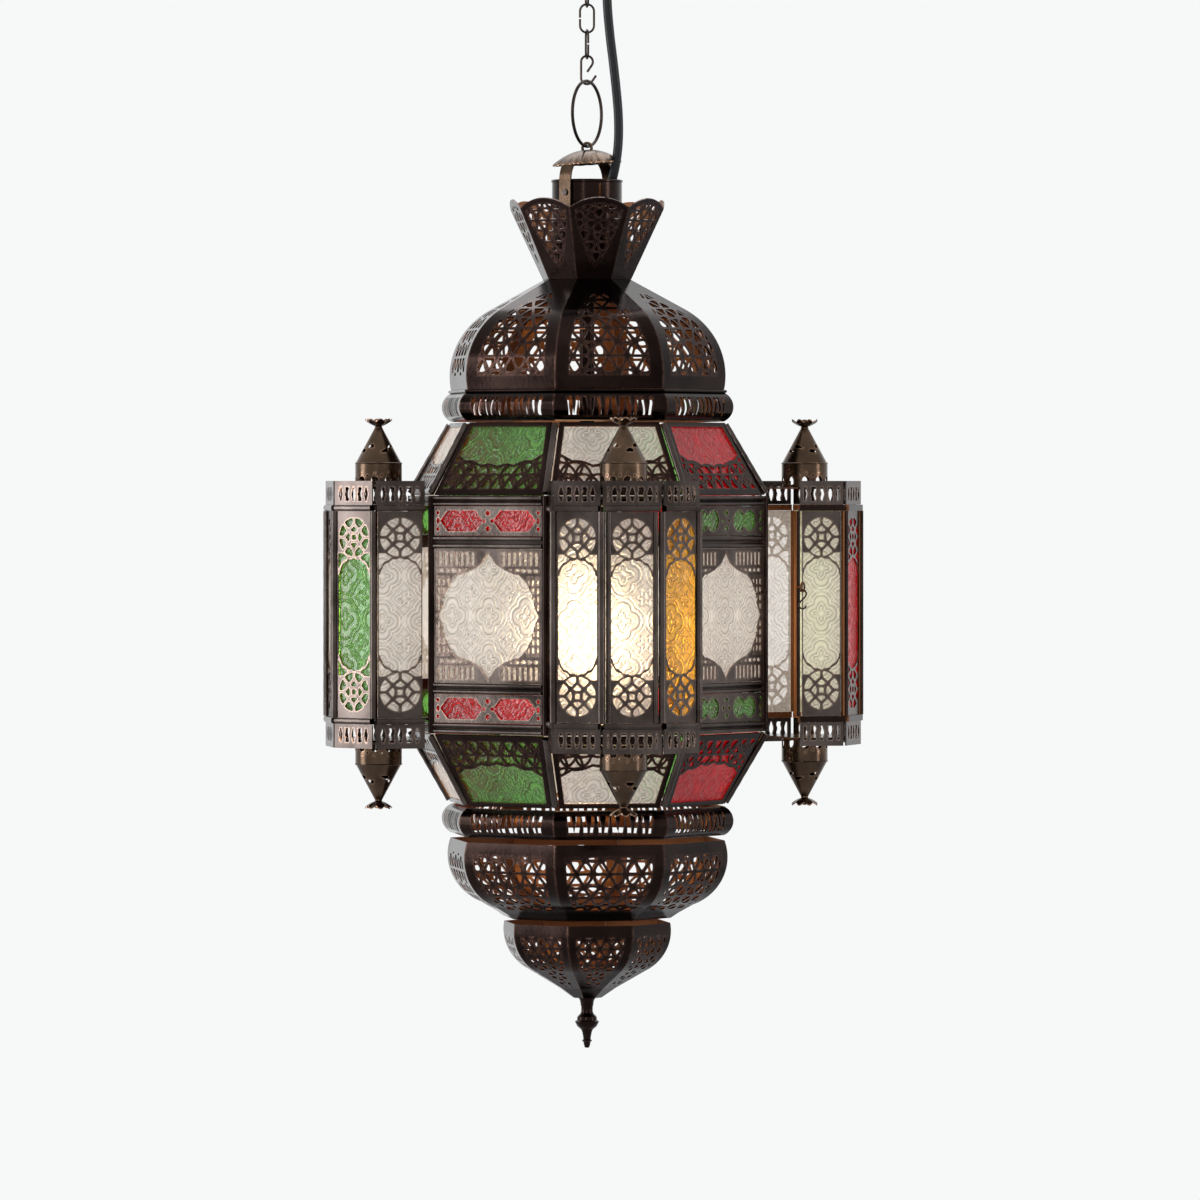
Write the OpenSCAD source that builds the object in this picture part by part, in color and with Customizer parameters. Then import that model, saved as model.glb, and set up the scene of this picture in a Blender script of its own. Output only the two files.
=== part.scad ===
// A hanging lantern of pierced sheet metal and pressed glass, on a short chain below a ceiling rose.
// An octagonal body carries four glazed bays; the bay on +X is a door. Millimetres, +Z up, and the
// origin is on the ceiling, at the middle of the bracket's top face.

/* [Ceiling fitting] */
// Length of the bracket bar
bracket_l = 92; // [80:1:100]
// Distance between the two screw holes of the bracket
screw_gap = 70; // [60:1:74]
// Diameter of the bracket's screw holes
screw_hole_d = 4.5; // [4:0.5:5]
// Diameter of the ceiling rose
rose_d = 84; // [78:1:90]
// Depth of the ceiling rose
rose_h = 32; // [28:1:34]

/* [Chain and ring] */
// Length of a chain link, outside
link_l = 20.5; // [19:0.5:22]
// Width of a chain link, outside
link_w = 11; // [10:0.5:12]
// Wire diameter of the chain links
link_wire = 1.5; // [1.3:0.1:1.7]
// Outside diameter of the hanging ring
ring_d = 46; // [42:1:48]
// Wire diameter of the hanging ring
ring_wire = 2.2; // [2:0.1:2.4]
// Direction of the hanging ring's plane, in degrees from +X
ring_turn = 54; // [40:1:70]

/* [Lantern body] */
// Distance between two opposite flat sides of the octagonal body
body_af = 226.6; // [222:0.2:230]
// Height of the body's glazed wall
wall_h = 156.8; // [150:0.2:160]
// Vertical height of each sloping glazed ring
slope_h = 49; // [46:0.5:50]
// Distance between opposite flats at the narrow end of the slopes
slope_neck_af = 174; // [170:1:178]
// Height of the dome of petals
dome_h = 74; // [72:0.5:75]
// Height of the flaring crown
crown_h = 53.6; // [50:0.2:55]
// Diameter of the wires at the body's corners
post_d = 5; // [4.4:0.2:5.4]

/* [Bays] */
// Distance from the lantern's axis to a bay's front face
bay_reach = 173; // [170:0.5:175]
// Width of a bay's front face
bay_front_w = 40; // [38:0.5:42]
// Distance from the axis to a bay's side corners
bay_side_reach = 151; // [149:0.5:153]
// Half the width of a bay at its side corners
bay_half_w = 48; // [47:0.5:49]
// Height of a bay over its upper and lower friezes
bay_h = 177; // [174:0.5:178]
// How far the door stands open
door_open = 10; // [0:1:20]

/* [Lamp] */
// Diameter of the bulb
bulb_d = 60; // [50:1:62]
// Diameter of the supply cable
cable_d = 6.2; // [5.6:0.1:6.4]

/* [Hidden] */

bronze = "#4a3a30";
dark_steel = "#3a3836";
clear_glass = [0.93, 0.92, 0.9, 0.45];
green_glass = [0.25, 0.62, 0.2, 0.55];
red_glass = [0.8, 0.08, 0.12, 0.55];
amber_glass = [0.9, 0.6, 0.1, 0.55];

sheet = 1;          // sheet of the shells
fret_sheet = 0.8;   // sheet of the pierced panels
pane = 2.6;         // thickness of the glass
seam = 0.1;         // gap between two pieces soldered edge to edge
half_face = 22.5;   // half the angle that one side of the octagon takes
t_face = tan(half_face);

// Levels, from the ceiling down
bracket_t = 2;
rose_z = -bracket_t - rose_h;
hook_z = -95;                                 // centre of the ceiling hook's wire at its lowest point
hook_wire = 3;
touch = 0.2;                                  // play between two linked wires
pitch = link_l - 2 * link_wire - touch;       // from one chain axis to the next
link_axis = [for (i = [0:3]) hook_z + (hook_wire - link_wire) / 2 - i * pitch];
s_wire = 1.6;
s_length = 19;                                // between the centres of the S hook's two bends
s_axis = link_axis[3] + (link_wire + s_wire) / 2 + touch - s_length;
ring_z = s_axis + (s_wire + ring_wire) / 2 + touch - (ring_d - ring_wire) / 2;
eye_axis = ring_z - (ring_d - ring_wire) / 2; // the ring's lowest wire, which the lantern hangs from
eye_wire = 2;
eye_top = eye_axis + (ring_wire + eye_wire) / 2 + touch;

cap_top = eye_axis - 2.1;
cap_d = 47;
cap_h = 9.5;
strap_w = 9;
strap_t = 1.6;
strap_top = cap_top - 4.2;
collar_d = 47;
collar_z = strap_top - 16.2;
crown_z = collar_z - 13.4;
dome_z = crown_z - crown_h;
bead_z = dome_z - dome_h - 1.6;
bead_h = 19.4;
slope_z = bead_z - bead_h - 0.6;
wall_z = slope_z - slope_h;
sill_z = wall_z - wall_h;
low_slope_z = sill_z - 0.6;
low_bead_z = low_slope_z - slope_h - 0.6;
bowl_z = low_bead_z - bead_h - 0.6;
tail_z = bowl_z - 57;
finial_z = tail_z - 52.4;

crown_neck = 28;     // apothem where the crown meets the dome
crown_mouth = 50.2;
bead_bulge = 6;
bead_r = 86.6;       // apothem of the bead rings' flat edges
wall_r = body_af / 2;
neck_r = slope_neck_af / 2;
post_r = (wall_r - 1.3) / cos(half_face);
half_side = wall_r * t_face;

// ---------- general shapes ----------

// A tube along a list of points, closed at both ends.
module tube_along(route, d, sides) {
    n = len(route);
    dir = [for (i = [0:n - 1]) unit(route[min(i + 1, n - 1)] - route[max(i - 1, 0)])];
    points = [for (i = [0:n - 1]) let (
            u = unit(cross([0, 1, 0], dir[i])),
            v = cross(dir[i], u))
        for (k = [0:sides - 1]) route[i] + d / 2 * (cos(360 * k / sides) * u + sin(360 * k / sides) * v)];
    walls = [for (i = [0:n - 2], k = [0:sides - 1]) let (m = (k + 1) % sides)
        [(i + 1) * sides + k, (i + 1) * sides + m, i * sides + m, i * sides + k]];
    polyhedron(points, concat(walls,
        [[for (k = [0:sides - 1]) k]], [[for (k = [sides - 1:-1:0]) (n - 1) * sides + k]]), convexity = 8);
}

function unit(v) = v / norm(v);
function arc_up(cx, cz, r, from, to, steps) =
    [for (i = [0:steps]) let (a = from + (to - from) * i / steps) [cx + r * cos(a), 0, cz + r * sin(a)]];
function arc(cx, cy, r, from, to, steps) =
    [for (i = [0:steps]) let (a = from + (to - from) * i / steps) [cx + r * cos(a), cy + r * sin(a)]];
function flip(list) = [for (i = [len(list) - 1:-1:0]) list[i]];

// A round wire bent to part of a circle in the XZ plane, about the origin.
module wire_arc(r, wire, from, to) {
    rotate([90, 0, 0]) rotate([0, 0, from])
        rotate_extrude(angle = to - from, $fn = 48) translate([r, 0]) circle(d = wire, $fn = 24);
}

// A straight round bar between two points.
module bar(a, b, d) {
    v = b - a;
    translate(a) rotate([0, acos(v.z / norm(v)), atan2(v.y, v.x)]) cylinder(d = d, h = norm(v), $fn = 24);
}

// One of the octagon's eight sectors, seen from the axis; play parts it from its neighbours.
module sector(z_low, z_high, play = seam) {
    reach = 260;
    translate([0, 0, z_low]) linear_extrude(z_high - z_low)
        translate([play / 2 / sin(half_face), 0])
            polygon([[0, 0], [reach, -reach * t_face], [reach, reach * t_face]]);
}

// Eight like pieces, each cut to its own sector.
module eight(z_low, z_high, play = seam) {
    for (k = [0:7]) rotate([0, 0, 45 * k]) intersection() {
        children();
        sector(z_low, z_high, play);
    }
}

// A sheet folded to a profile of (apothem, height) points, across one sector.
module folded(profile, width = 220) {
    rotate([90, 0, 0]) linear_extrude(width, center = true) polygon(profile);
}

// Draws in the plane of a leaning panel: x along the side, y up the panel from its foot, z outwards.
module leaning(foot, head) {
    v = head - foot;
    translate([foot.x, 0, foot.y]) rotate([0, asin(v.x / norm(v)), 0]) rotate([90, 0, 90]) children();
}

// Draws on the side between two plan points, taken anticlockwise: x along it, y up, z outwards.
module on_side(a, b) {
    translate([a.x, a.y, 0]) rotate([90, 0, atan2(b.y - a.y, b.x - a.x)]) children();
}

// A pointed oval along x.
module lens(length, width) {
    r = (length * length + width * width) / (4 * width);
    intersection() {
        translate([0, r - width / 2]) circle(r, $fn = 64);
        translate([0, width / 2 - r]) circle(r, $fn = 64);
    }
}

// The holes of one rosette: pointed petals round a centre.
module rosette(r, petals = 6, turn = 0) {
    for (i = [0:petals - 1]) rotate(turn + 360 * i / petals) translate([0.58 * r, 0]) lens(0.8 * r, 0.46 * r);
}

// ---------- ceiling fitting ----------

module ceiling_bracket() {
    color("#8d8f91") difference() {
        translate([-bracket_l / 2, -9, -bracket_t]) cube([bracket_l, 18, bracket_t]);
        for (s = [-1, 1]) translate([s * screw_gap / 2, 0, -bracket_t - 1])
            cylinder(d = screw_hole_d, h = bracket_t + 2, $fn = 32);
        translate([0, 0, -bracket_t - 1]) cylinder(d = 5.2, h = bracket_t + 2, $fn = 32);
    }
}

rose_wall = 1.2;
grip_at = [14.5, -15];
module ceiling_rose() {
    r = rose_d / 2;
    lip = rose_h - 12;
    color(bronze) difference() {
        rotate_extrude($fn = 96) difference() {
            polygon(concat([[0, rose_z]], arc(r - 16, rose_z + 16, 16, -90, 0, 10), [[r, -2.2], [0, -2.2]]));
            polygon(concat([[0, rose_z + rose_wall]],
                arc(r - 16, rose_z + 16, 16 - rose_wall, -90, 0, 10), [[r - rose_wall, 1], [0, 1]]));
        }
        translate([0, 0, rose_z - 1]) cylinder(d = 5.2, h = lip, $fn = 32);
        translate([grip_at.x, grip_at.y, rose_z - 1]) cylinder(d = 9.2, h = lip, $fn = 32);
    }
}

// Screw hook: a threaded shank through bracket and rose, with an open hook below.
hook_r = 8;
hook_lean = 40;      // how far the wire between the two bends leans off the vertical
module ceiling_hook() {
    bend = hook_z + hook_r;
    lean_l = hook_r * (2 * cos(hook_lean) - 1) / sin(hook_lean);
    low = hook_r * [cos(hook_lean), 0, sin(hook_lean)];
    high = low + lean_l * [-sin(hook_lean), 0, cos(hook_lean)];
    straight_z = high.z + hook_r * sin(hook_lean);
    color(dark_steel) {
        translate([0, 0, bend]) tube_along(concat([[0, 0, rose_z - 2 - bend]],
            arc_up(hook_r, straight_z, hook_r, 180, 180 + hook_lean, 4),
            arc_up(0, 0, hook_r, hook_lean, -205, 16)), hook_wire, 12);
        translate([0, 0, rose_z - 3]) cylinder(d = 9, h = 2.9, $fn = 32);
        translate([0, 0, rose_z - 1]) cylinder(d = 5, h = 1 - rose_z - 0.4, $fn = 32);
    }
}

module hook_nut() {
    color("#8d8f91") difference() {
        translate([0, 0, -bracket_t - 4.1]) cylinder(d = 9.2, h = 4, $fn = 6);
        translate([0, 0, -bracket_t - 5]) cylinder(d = 5.1, h = 6, $fn = 32);
    }
}

// Clamp bush of the cable in the rose's floor.
module cord_grip() {
    color("#1c1c1c") translate([grip_at.x, grip_at.y, 0]) difference() {
        rotate_extrude($fn = 48) polygon([[0, rose_z + 6], [4.5, rose_z + 6], [4.5, rose_z - 0.1],
            [6.4, rose_z - 0.1], [6.4, rose_z - 3], [4.4, rose_z - 24], [0, rose_z - 24]]);
        translate([0, 0, rose_z - 25]) cylinder(d = cable_d + 0.2, h = 37, $fn = 32);
    }
}

// ---------- chain, hook and ring ----------

// A link hanging from the axis, in the XZ plane. Its side wire has an open joint.
module chain_link() {
    r = (link_w - link_wire) / 2;
    top = link_wire + touch - r;
    straight = link_l - link_wire - 2 * r;
    translate([0, 0, top]) wire_arc(r, link_wire, 0, 180);
    translate([0, 0, top - straight]) wire_arc(r, link_wire, 180, 360);
    translate([r, 0, top - straight]) cylinder(d = link_wire, h = straight, $fn = 24);
    translate([-r, 0, top - straight]) cylinder(d = link_wire, h = straight / 2 - 0.4, $fn = 24);
    translate([-r, 0, top - straight / 2 + 0.4]) cylinder(d = link_wire, h = straight / 2 - 0.4, $fn = 24);
}

module chain_link_at(i, turn) {
    color(dark_steel) translate([0, 0, link_axis[i]]) rotate([0, 0, turn]) chain_link();
}

// Open S hook, both curls to +X.
s_bend = 4;
module s_hook() {
    top_z = s_length - s_bend;
    end_dir = [sin(35), 0, cos(35)];
    color(dark_steel) translate([0, 0, s_axis]) tube_along(concat(
        [[s_bend * cos(35), 0, top_z - s_bend * sin(35)] - 5.5 * end_dir],
        arc_up(0, top_z, s_bend, -35, 180, 12), arc_up(0, s_bend, s_bend, 180, 325, 9),
        [[s_bend * cos(35), 0, s_bend - s_bend * sin(35)] + 5 * end_dir]), s_wire, 12);
}

module hanging_ring() {
    color(bronze) translate([0, 0, ring_z]) rotate([90, 0, ring_turn])
        rotate_extrude($fn = 96) translate([(ring_d - ring_wire) / 2, 0]) circle(d = ring_wire, $fn = 24);
}

// The supply cable, from the mouth of the lamp's pipe up through the collar to the rose.
nipple_top = dome_z + 9;
cable_route = [[0, 0, nipple_top - 8], [0, 0, nipple_top], [0.2, -0.2, -276], [2.4, -1.2, -264], [7, -3, -251], [12, -5.4, -239],
    [15.8, -9, -227], [18.2, -11.6, -213], [19.3, -12.3, -199], [19.1, -12.3, -184], [17.8, -12.2, -168],
    [15.8, -12.2, -150], [13.4, -12.6, -131], [11.6, -13.3, -112], [11.2, -14, -95], [12.4, -14.7, -79],
    [13.8, -15, -69], [14.5, -15, -60], [14.5, -15, -48], [14.5, -15, rose_z + 5]];
module supply_cable() {
    color("#202224") tube_along(cable_route, cable_d, 10);
}

// ---------- top of the lantern ----------

// Split pin: an eye above the rosette, legs through rosette and strap, spread under the strap.
module split_pin() {
    r = 3.4;
    low_z = strap_top - strap_t - 1.6;
    color("#5a4a3c") rotate([0, 0, ring_turn + 90]) tube_along(concat(
        [[-6.2, 0, low_z - 1.8], [-1.5, 0, low_z]], arc_up(0, eye_top - r, r, 245, -65, 14),
        [[1.5, 0, low_z], [6.2, 0, low_z - 1.8]]), eye_wire, 10);
}

module rosette_cap() {
    r = (cap_d * cap_d / 4 + cap_h * cap_h) / (2 * cap_h);
    flutes = 20;
    color(bronze) difference() {
        translate([0, 0, cap_top - r]) difference() {
            sphere(r, $fn = 96);
            sphere(r - sheet, $fn = 96);
        }
        translate([0, 0, cap_top - cap_h - 2 * r]) cube(4 * r, center = true);
        for (i = [0:flutes - 1]) rotate([0, 0, 360 * i / flutes])
            translate([cap_d / 2 + 0.6, 0, cap_top - cap_h - 2]) cylinder(d = 3.6, h = cap_h, $fn = 24);
        rotate([0, 0, ring_turn + 90]) hull() for (s = [-1, 1])
            translate([s * 3.6, 0, cap_top - 4]) cylinder(d = 2.6, h = 6, $fn = 24);
        // Notch where the cable passes the rim
        hull() for (f = [1, 1.5]) translate([f * 18.3, f * -11.7, cap_top - 14]) cylinder(d = 7.6, h = 14, $fn = 32);
    }
}

// Flat strap bent to an arch; its legs lie against the collar.
strap_leg = 26;
rim_out = 0.6;         // how far the collar's rolled rim stands out
module strap_handle() {
    inner = collar_d / 2 + rim_out + 0.05;
    outer = inner + strap_t;
    bend = 15;
    color(bronze) rotate([0, 0, 45]) rotate([90, 0, 0]) difference() {
        linear_extrude(strap_w, center = true) difference() {
            arch(outer, bend + strap_t, strap_top, collar_z - strap_leg);
            arch(inner, bend, strap_top - strap_t, collar_z - strap_leg - 1);
        }
        translate([0, strap_top, 0]) rotate([90, 0, 0]) cylinder(d = 5.4, h = 9, center = true, $fn = 32);
        for (z = rivet_levels) translate([0, z, 0]) rotate([0, 90, 0])
            cylinder(d = 2.6, h = 4 * inner, center = true, $fn = 24);
    }
}

module arch(half, bend, top, foot) {
    for (s = [-1, 1]) translate([s * (half - bend), top - bend]) circle(bend, $fn = 64);
    translate([-(half - bend), foot]) square([2 * (half - bend), top - foot]);
    translate([-half, foot]) square([2 * half, top - bend - foot]);
}

rivet_levels = [collar_z - strap_leg + 5, collar_z - strap_leg + 17];
module strap_rivets() {
    r = collar_d / 2;
    color("#6a5a4a") rotate([0, 0, 45]) for (z = rivet_levels, s = [0, 1])
        translate([0, 0, z]) rotate([0, 90, 180 * s]) {
            translate([0, 0, r - 2.2]) cylinder(d = 2.5, h = strap_t + rim_out + 3.4, $fn = 24);
            translate([0, 0, r + rim_out + strap_t + 0.1]) cylinder(d = 4.4, h = 1, $fn = 24);
        }
}

// Tube with a rolled rim and an open seam, for the cable.
module cable_collar() {
    foot = dome_z + 3;
    r = collar_d / 2;
    color(bronze) difference() {
        rotate_extrude($fn = 96) polygon([[r - 0.8, foot], [r, foot], [r, collar_z - 2], [r + rim_out, collar_z - 1.5],
            [r + rim_out, collar_z - 0.5], [r + 0.1, collar_z], [r - 0.8, collar_z]]);
        rotate([0, 0, -78]) translate([0, -0.8, collar_z - 34]) cube([collar_d, 1.6, 31]);
        rotate([0, 0, 45]) for (z = rivet_levels) translate([0, 0, z]) rotate([0, 90, 0])
            cylinder(d = 2.6, h = 4 * collar_d, center = true, $fn = 24);
    }
}

// Octagonal plate across the neck, which carries the collar above and the lamp holder below.
module neck_plate() {
    color(bronze) difference() {
        translate([0, 0, dome_z + 1.5]) rotate([0, 0, half_face])
            cylinder(r = (crown_neck - 0.4) / cos(half_face), h = 1.4, $fn = 8);
        translate([0, 0, dome_z]) cylinder(d = 10.3, h = 4, $fn = 32);
    }
}

// Flaring panels with a scalloped upper edge and pierced rosettes.
module crown_panels() {
    foot = [crown_neck, dome_z + 0.1];
    head = [crown_mouth, crown_z - 3];
    long = norm(head - foot);
    arch_r = 32;
    color(bronze) eight(dome_z, crown_z + 4) leaning(foot, head) linear_extrude(sheet) difference() {
        intersection() {
            translate([-30, 0]) square([60, long + 8]);
            translate([0, long + 3.2 - arch_r]) circle(arch_r + 0.01, $fn = 96);
            translate([-30, 0]) square([60, long + 3]);
        }
        translate([0, long * 0.68]) rosette(12.5, 6, 30);
        translate([0, long * 0.36]) rosette(6.6, 4, 45);
        translate([0, long * 0.17]) rotate(90) lens(6, 2.6);
        for (s = [-1, 1]) translate([s * 12.4, long * 0.88]) rotate(s * 50) lens(5, 2);
    }
}

// Onion-shaped dome: each petal is one sheet, straight at the neck and then rolled.
dome_r = 51.4;
dome_side = 87.6;
function dome_line(inset) = concat(
    [[crown_neck - 0.2, dome_z - inset * 1.16]],
    arc(dome_side - dome_r, dome_z - 64.4, dome_r - inset, 59.7, -10.5, 9));
module dome_petals() {
    profile = concat(dome_line(0), flip(dome_line(sheet)));
    color(bronze) {
        eight(dome_z - dome_h, dome_z - 0.05) difference() {
            folded(profile);
            rotate([90, 0, 90]) linear_extrude(120) dome_piercing();
        }
        eight(dome_z - dome_h - 1.5, dome_z - dome_h - 0.1) difference() {
            translate([0, -50, dome_z - dome_h - 1.4]) cube([bead_r + 1.6, 100, 1.2]);
            translate([-1, -60, dome_z - dome_h - 2]) cube([80, 120, 3]);
        }
    }
}

module dome_piercing() {
    translate([0, dome_z - 49]) rosette(13, 6, 0);
    for (s = [-1, 1]) translate([s * 20, dome_z - 56]) rosette(7, 4, 45);
    translate([0, dome_z - 28]) rosette(8, 4, 45);
}

// Half-round ring with upright slots; both bead rings are the same.
bead_slots = 8;
module bead_ring(z) {
    r = (bead_h * bead_h / 4 + bead_bulge * bead_bulge) / (2 * bead_bulge);
    pitch_slot = 6.8;
    mid = z - bead_h / 2;
    color(bronze) eight(z - bead_h, z) difference() {
        rotate([90, 0, 0]) linear_extrude(110, center = true) intersection() {
            translate([bead_r + bead_bulge - r, mid]) difference() {
                circle(r, $fn = 96);
                circle(r - sheet, $fn = 96);
            }
            translate([bead_r - 1.2, z - bead_h]) square([20, bead_h]);
        }
        for (i = [0:bead_slots - 1])
            translate([bead_r - 6, (i - (bead_slots - 1) / 2) * pitch_slot - 1.3, mid - 5.6])
                cube([20, 2.6, 11.2]);
    }
}

// ---------- sloping glazed rings ----------

rib_d = 4.4;
slope_foot = [wall_r - 1.2, wall_z + 0.6];
slope_head = [neck_r, slope_z - 0.6];
slope_len = norm(slope_head - slope_foot);
function slope_half(y, inset) =
    (slope_foot.x + (slope_head.x - slope_foot.x) * y / slope_len) * t_face - inset;

// Runs its children on the upper slope, or mirrored on the lower one.
module slope_side(k, lower) {
    if (lower) translate([0, 0, sill_z + wall_z]) mirror([0, 0, 1]) rotate([0, 0, 45 * k])
        leaning(slope_foot, slope_head) children();
    else rotate([0, 0, 45 * k]) leaning(slope_foot, slope_head) children();
}

module slope_outline(inset) {
    polygon([[-slope_half(0, inset), 0], [slope_half(0, inset), 0],
        [slope_half(slope_len, inset), slope_len], [-slope_half(slope_len, inset), slope_len]]);
}

// Pierced frame of a slope: interlaced rings across the lower half of its window, higher at the sides.
ring_spots = [[0, 7], [-17, 7], [17, 7], [-34, 7], [34, 7], [-41, 22], [41, 22]];
module slope_sheet() {
    linear_extrude(fret_sheet) difference() {
        slope_outline(2.8);
        difference() {
            intersection() {
                slope_outline(6.6);
                translate([-60, 4.6]) square([120, slope_len - 7.6]);
            }
            for (p = ring_spots) translate(p) difference() {
                circle(11.4, $fn = 48);
                circle(9.9, $fn = 48);
            }
        }
    }
}

module slope_frames() {
    color(bronze) for (k = [0:7], low = [false, true]) slope_side(k, low) slope_sheet();
}

module slope_ribs() {
    color(bronze) for (k = [0:7], low = [0, 1]) translate([0, 0, low * (sill_z + wall_z)])
        mirror([0, 0, low]) rotate([0, 0, 45 * k + half_face])
            bar([(slope_foot.x + 0.6) / cos(half_face), 0, slope_foot.y + 1.2],
                [(slope_head.x + 0.6) / cos(half_face), 0, slope_head.y - 1], rib_d);
}

module slope_glass(sides, tint) {
    color(tint) for (k = sides, low = [false, true]) slope_side(k, low)
        translate([0, 0, -pane - 0.1]) linear_extrude(pane) translate([0, 1])
            difference() {
                slope_outline(3.4);
                translate([-60, slope_len - 2.4]) square([120, 10]);
            }
}

// ---------- wall ----------

clear_sides = [0, 2, 4, 6];
green_sides = [1, 5];
red_sides = [3, 7];
plain_sides = [1, 3, 5, 7];
red_strips = [1, 5];
green_strips = [3, 7];

function corner(k) = [wall_r / cos(half_face) * cos(45 * k + half_face),
    wall_r / cos(half_face) * sin(45 * k + half_face)];

module corner_posts() {
    color(bronze) {
        for (k = [0:7]) rotate([0, 0, 45 * k + half_face]) translate([post_r, 0, sill_z])
            cylinder(d = post_d, h = wall_h, $fn = 32);
        // Fixed knuckles of the door's two hinges, with the leaf that ties each to its post
        for (z = hinge_levels, s = [-1, 1]) translate([0, 0, z + s * (knuckle_h + 0.1)]) {
            hinge_knuckle();
            leaf_to_post();
        }
        // Keeper pin of the latch
        rotate([0, 0, -half_face]) translate([post_r, 0, latch_z]) rotate([0, 0, half_face]) rotate([90, 0, 0])
            cylinder(d = 1.6, h = 5.2, $fn = 24);
    }
}

// Rail levels of the wall: head rail, transoms and sill rail, each [top, height].
rails = [[wall_z, 6.7], [wall_z - 26.1, 8.7], [wall_z - 123.3, 7.3], [wall_z - 149.6, 7.2]];

// Rolled rail with a groove along its face; x runs along the side.
module rail(half, top, h) {
    translate([-half, 0, 0]) rotate([90, 0, 90]) linear_extrude(2 * half) polygon([
        [-3.4, top], [0.4, top], [0.9, top - 0.8], [0.9, top - h * 0.34], [-0.5, top - h * 0.42],
        [-0.5, top - h * 0.58], [0.9, top - h * 0.66], [0.9, top - h + 0.8], [0.4, top - h], [-3.4, top - h]]);
}

// Draws on side k of the wall: x along it, y out of it, z up.
module wall_side(k) {
    rotate([0, 0, 45 * k - 90]) translate([0, wall_r, 0]) mirror([1, 0, 0]) children();
}

wall_half = (wall_r - 1.3) * t_face - post_d / 2 - 0.06;
module wall_rails() {
    color(bronze) {
        for (k = plain_sides, r = rails) wall_side(k) rail(wall_half, r[0], r[1]);
        for (k = clear_sides, r = [rails[0], rails[3]]) wall_side(k) rail(wall_half, r[0], r[1]);
    }
}

strip_spans = [[rails[0][0] - rails[0][1], rails[1][0]], [rails[2][0] - rails[2][1], rails[3][0]]];
panel_span = [rails[1][0] - rails[1][1], rails[2][0]];

// A flat blank on a wall side between two levels, with holes drawn about its middle.
module wall_sheet(k, span, depth, t) {
    middle = (span[0] + span[1]) / 2;
    h = span[0] - span[1] - 0.1;
    wall_side(k) translate([0, depth, middle]) rotate([90, 0, 0]) linear_extrude(t) difference() {
        square([2 * wall_half - 0.1, h], center = true);
        children();
    }
}

// Two windows, pointed or oval, with a saltire of small openings between them.
module strip_windows(oval) {
    for (s = [-1, 1]) translate([s * 21.5, 0]) {
        if (oval) for (x = [-6.4, 6.4]) translate([x, 0]) circle(6.6, $fn = 48);
        if (oval) square([12.8, 13.2], center = true);
        else polygon([[-17, 0], [-10.5, 6.8], [10.5, 6.8], [17, 0], [10.5, -6.8], [-10.5, -6.8]]);
    }
    for (s = [-1, 1]) {
        translate([0, s * 5.4]) rotate(45) square(2.7, center = true);
        for (x = [-1, 1]) translate([x * 40.6, s * 5.8]) circle(1.7, $fn = 24);
    }
}

module strip_panels() {
    color(bronze) {
        for (k = red_strips, span = strip_spans) wall_sheet(k, span, -0.4, fret_sheet) strip_windows(false);
        for (k = green_strips, span = strip_spans) wall_sheet(k, span, -0.4, fret_sheet) strip_windows(true);
    }
}

module strip_glass(sides, tint) {
    color(tint) for (k = sides, span = strip_spans) wall_sheet(k, span, -1.3, pane - 0.6);
}

// Pierced sheet with a curtain-shaped opening; slots hang from its head and stand on its foot.
module panel_lattices() {
    color(bronze) for (k = plain_sides) wall_sheet(k, panel_span, -0.4, fret_sheet) lattice_holes();
}

curtain = [[1, 0], [0.9, 0.12], [0.87, 0.32], [0.76, 0.5], [0.62, 0.64], [0.46, 0.66], [0.34, 0.7],
    [0.18, 0.8], [0.07, 0.9], [0, 1]];
module lattice_holes() {
    w = wall_half - 3.2;
    h = (panel_span[0] - panel_span[1]) / 2 - 3.2;
    for (s = [-1, 1], t = [-1, 1]) {
        polygon(concat([[0, 0]], [for (p = curtain) [s * p.x * w, t * p.y * h]]));
        for (i = [0:5]) translate([s * (w * 0.34 + i * 4.6), t * (h - 4.2)]) square([2.4, 8], center = true);
        for (i = [0:4]) translate([s * (w * 0.5 + i * 4.8), t * (h - 11.4)]) scale([1, 0.6]) circle(1.9, $fn = 6);
        for (i = [0:3]) translate([s * (w - 1.6), t * (h - 17 - i * 5.2)]) square([2.4, 3.4], center = true);
    }
}

module panel_glass() {
    color(clear_glass) for (k = plain_sides) wall_sheet(k, panel_span, -1.3, pane - 0.6);
}

// ---------- bays ----------

bay_top = wall_z + 10;
bay_low = bay_top - bay_h;
frieze_h = 16;
rod_d = 5;
inner_top = bay_top - frieze_h;
inner_low = bay_low + frieze_h;
fret_head = 26;      // height of the pierced head over the arch
moulding_h = 4;

// Plan of a bay, anticlockwise from its back corner. The door's back corners stand off the posts.
function bay_plan(back, inset = 0) = [[back, -half_side + 2.2 + inset], [bay_side_reach - inset * 0.7, -bay_half_w + inset],
    [bay_reach - inset, -bay_front_w / 2 + inset * 0.4], [bay_reach - inset, bay_front_w / 2 - inset * 0.4],
    [bay_side_reach - inset * 0.7, bay_half_w - inset], [back, half_side - 2.2 - inset]];
bay_back = wall_r + 2.2;
door_back = wall_r + 5.6;

module bays() {
    for (a = [90, 180, 270]) rotate([0, 0, a]) children();
}

// A sheet on side i of a bay between two levels; end_gap keeps it off the corner rods.
module bay_sheet(plan, i, low, high, out, t, end_gap) {
    a = plan[i];
    b = plan[i + 1];
    wide = norm(b - a);
    on_side(a, b) translate([end_gap, low, out - t]) linear_extrude(t) difference() {
        square([wide - 2 * end_gap, high - low]);
        translate([wide / 2 - end_gap, 0]) children();
    }
}

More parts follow.
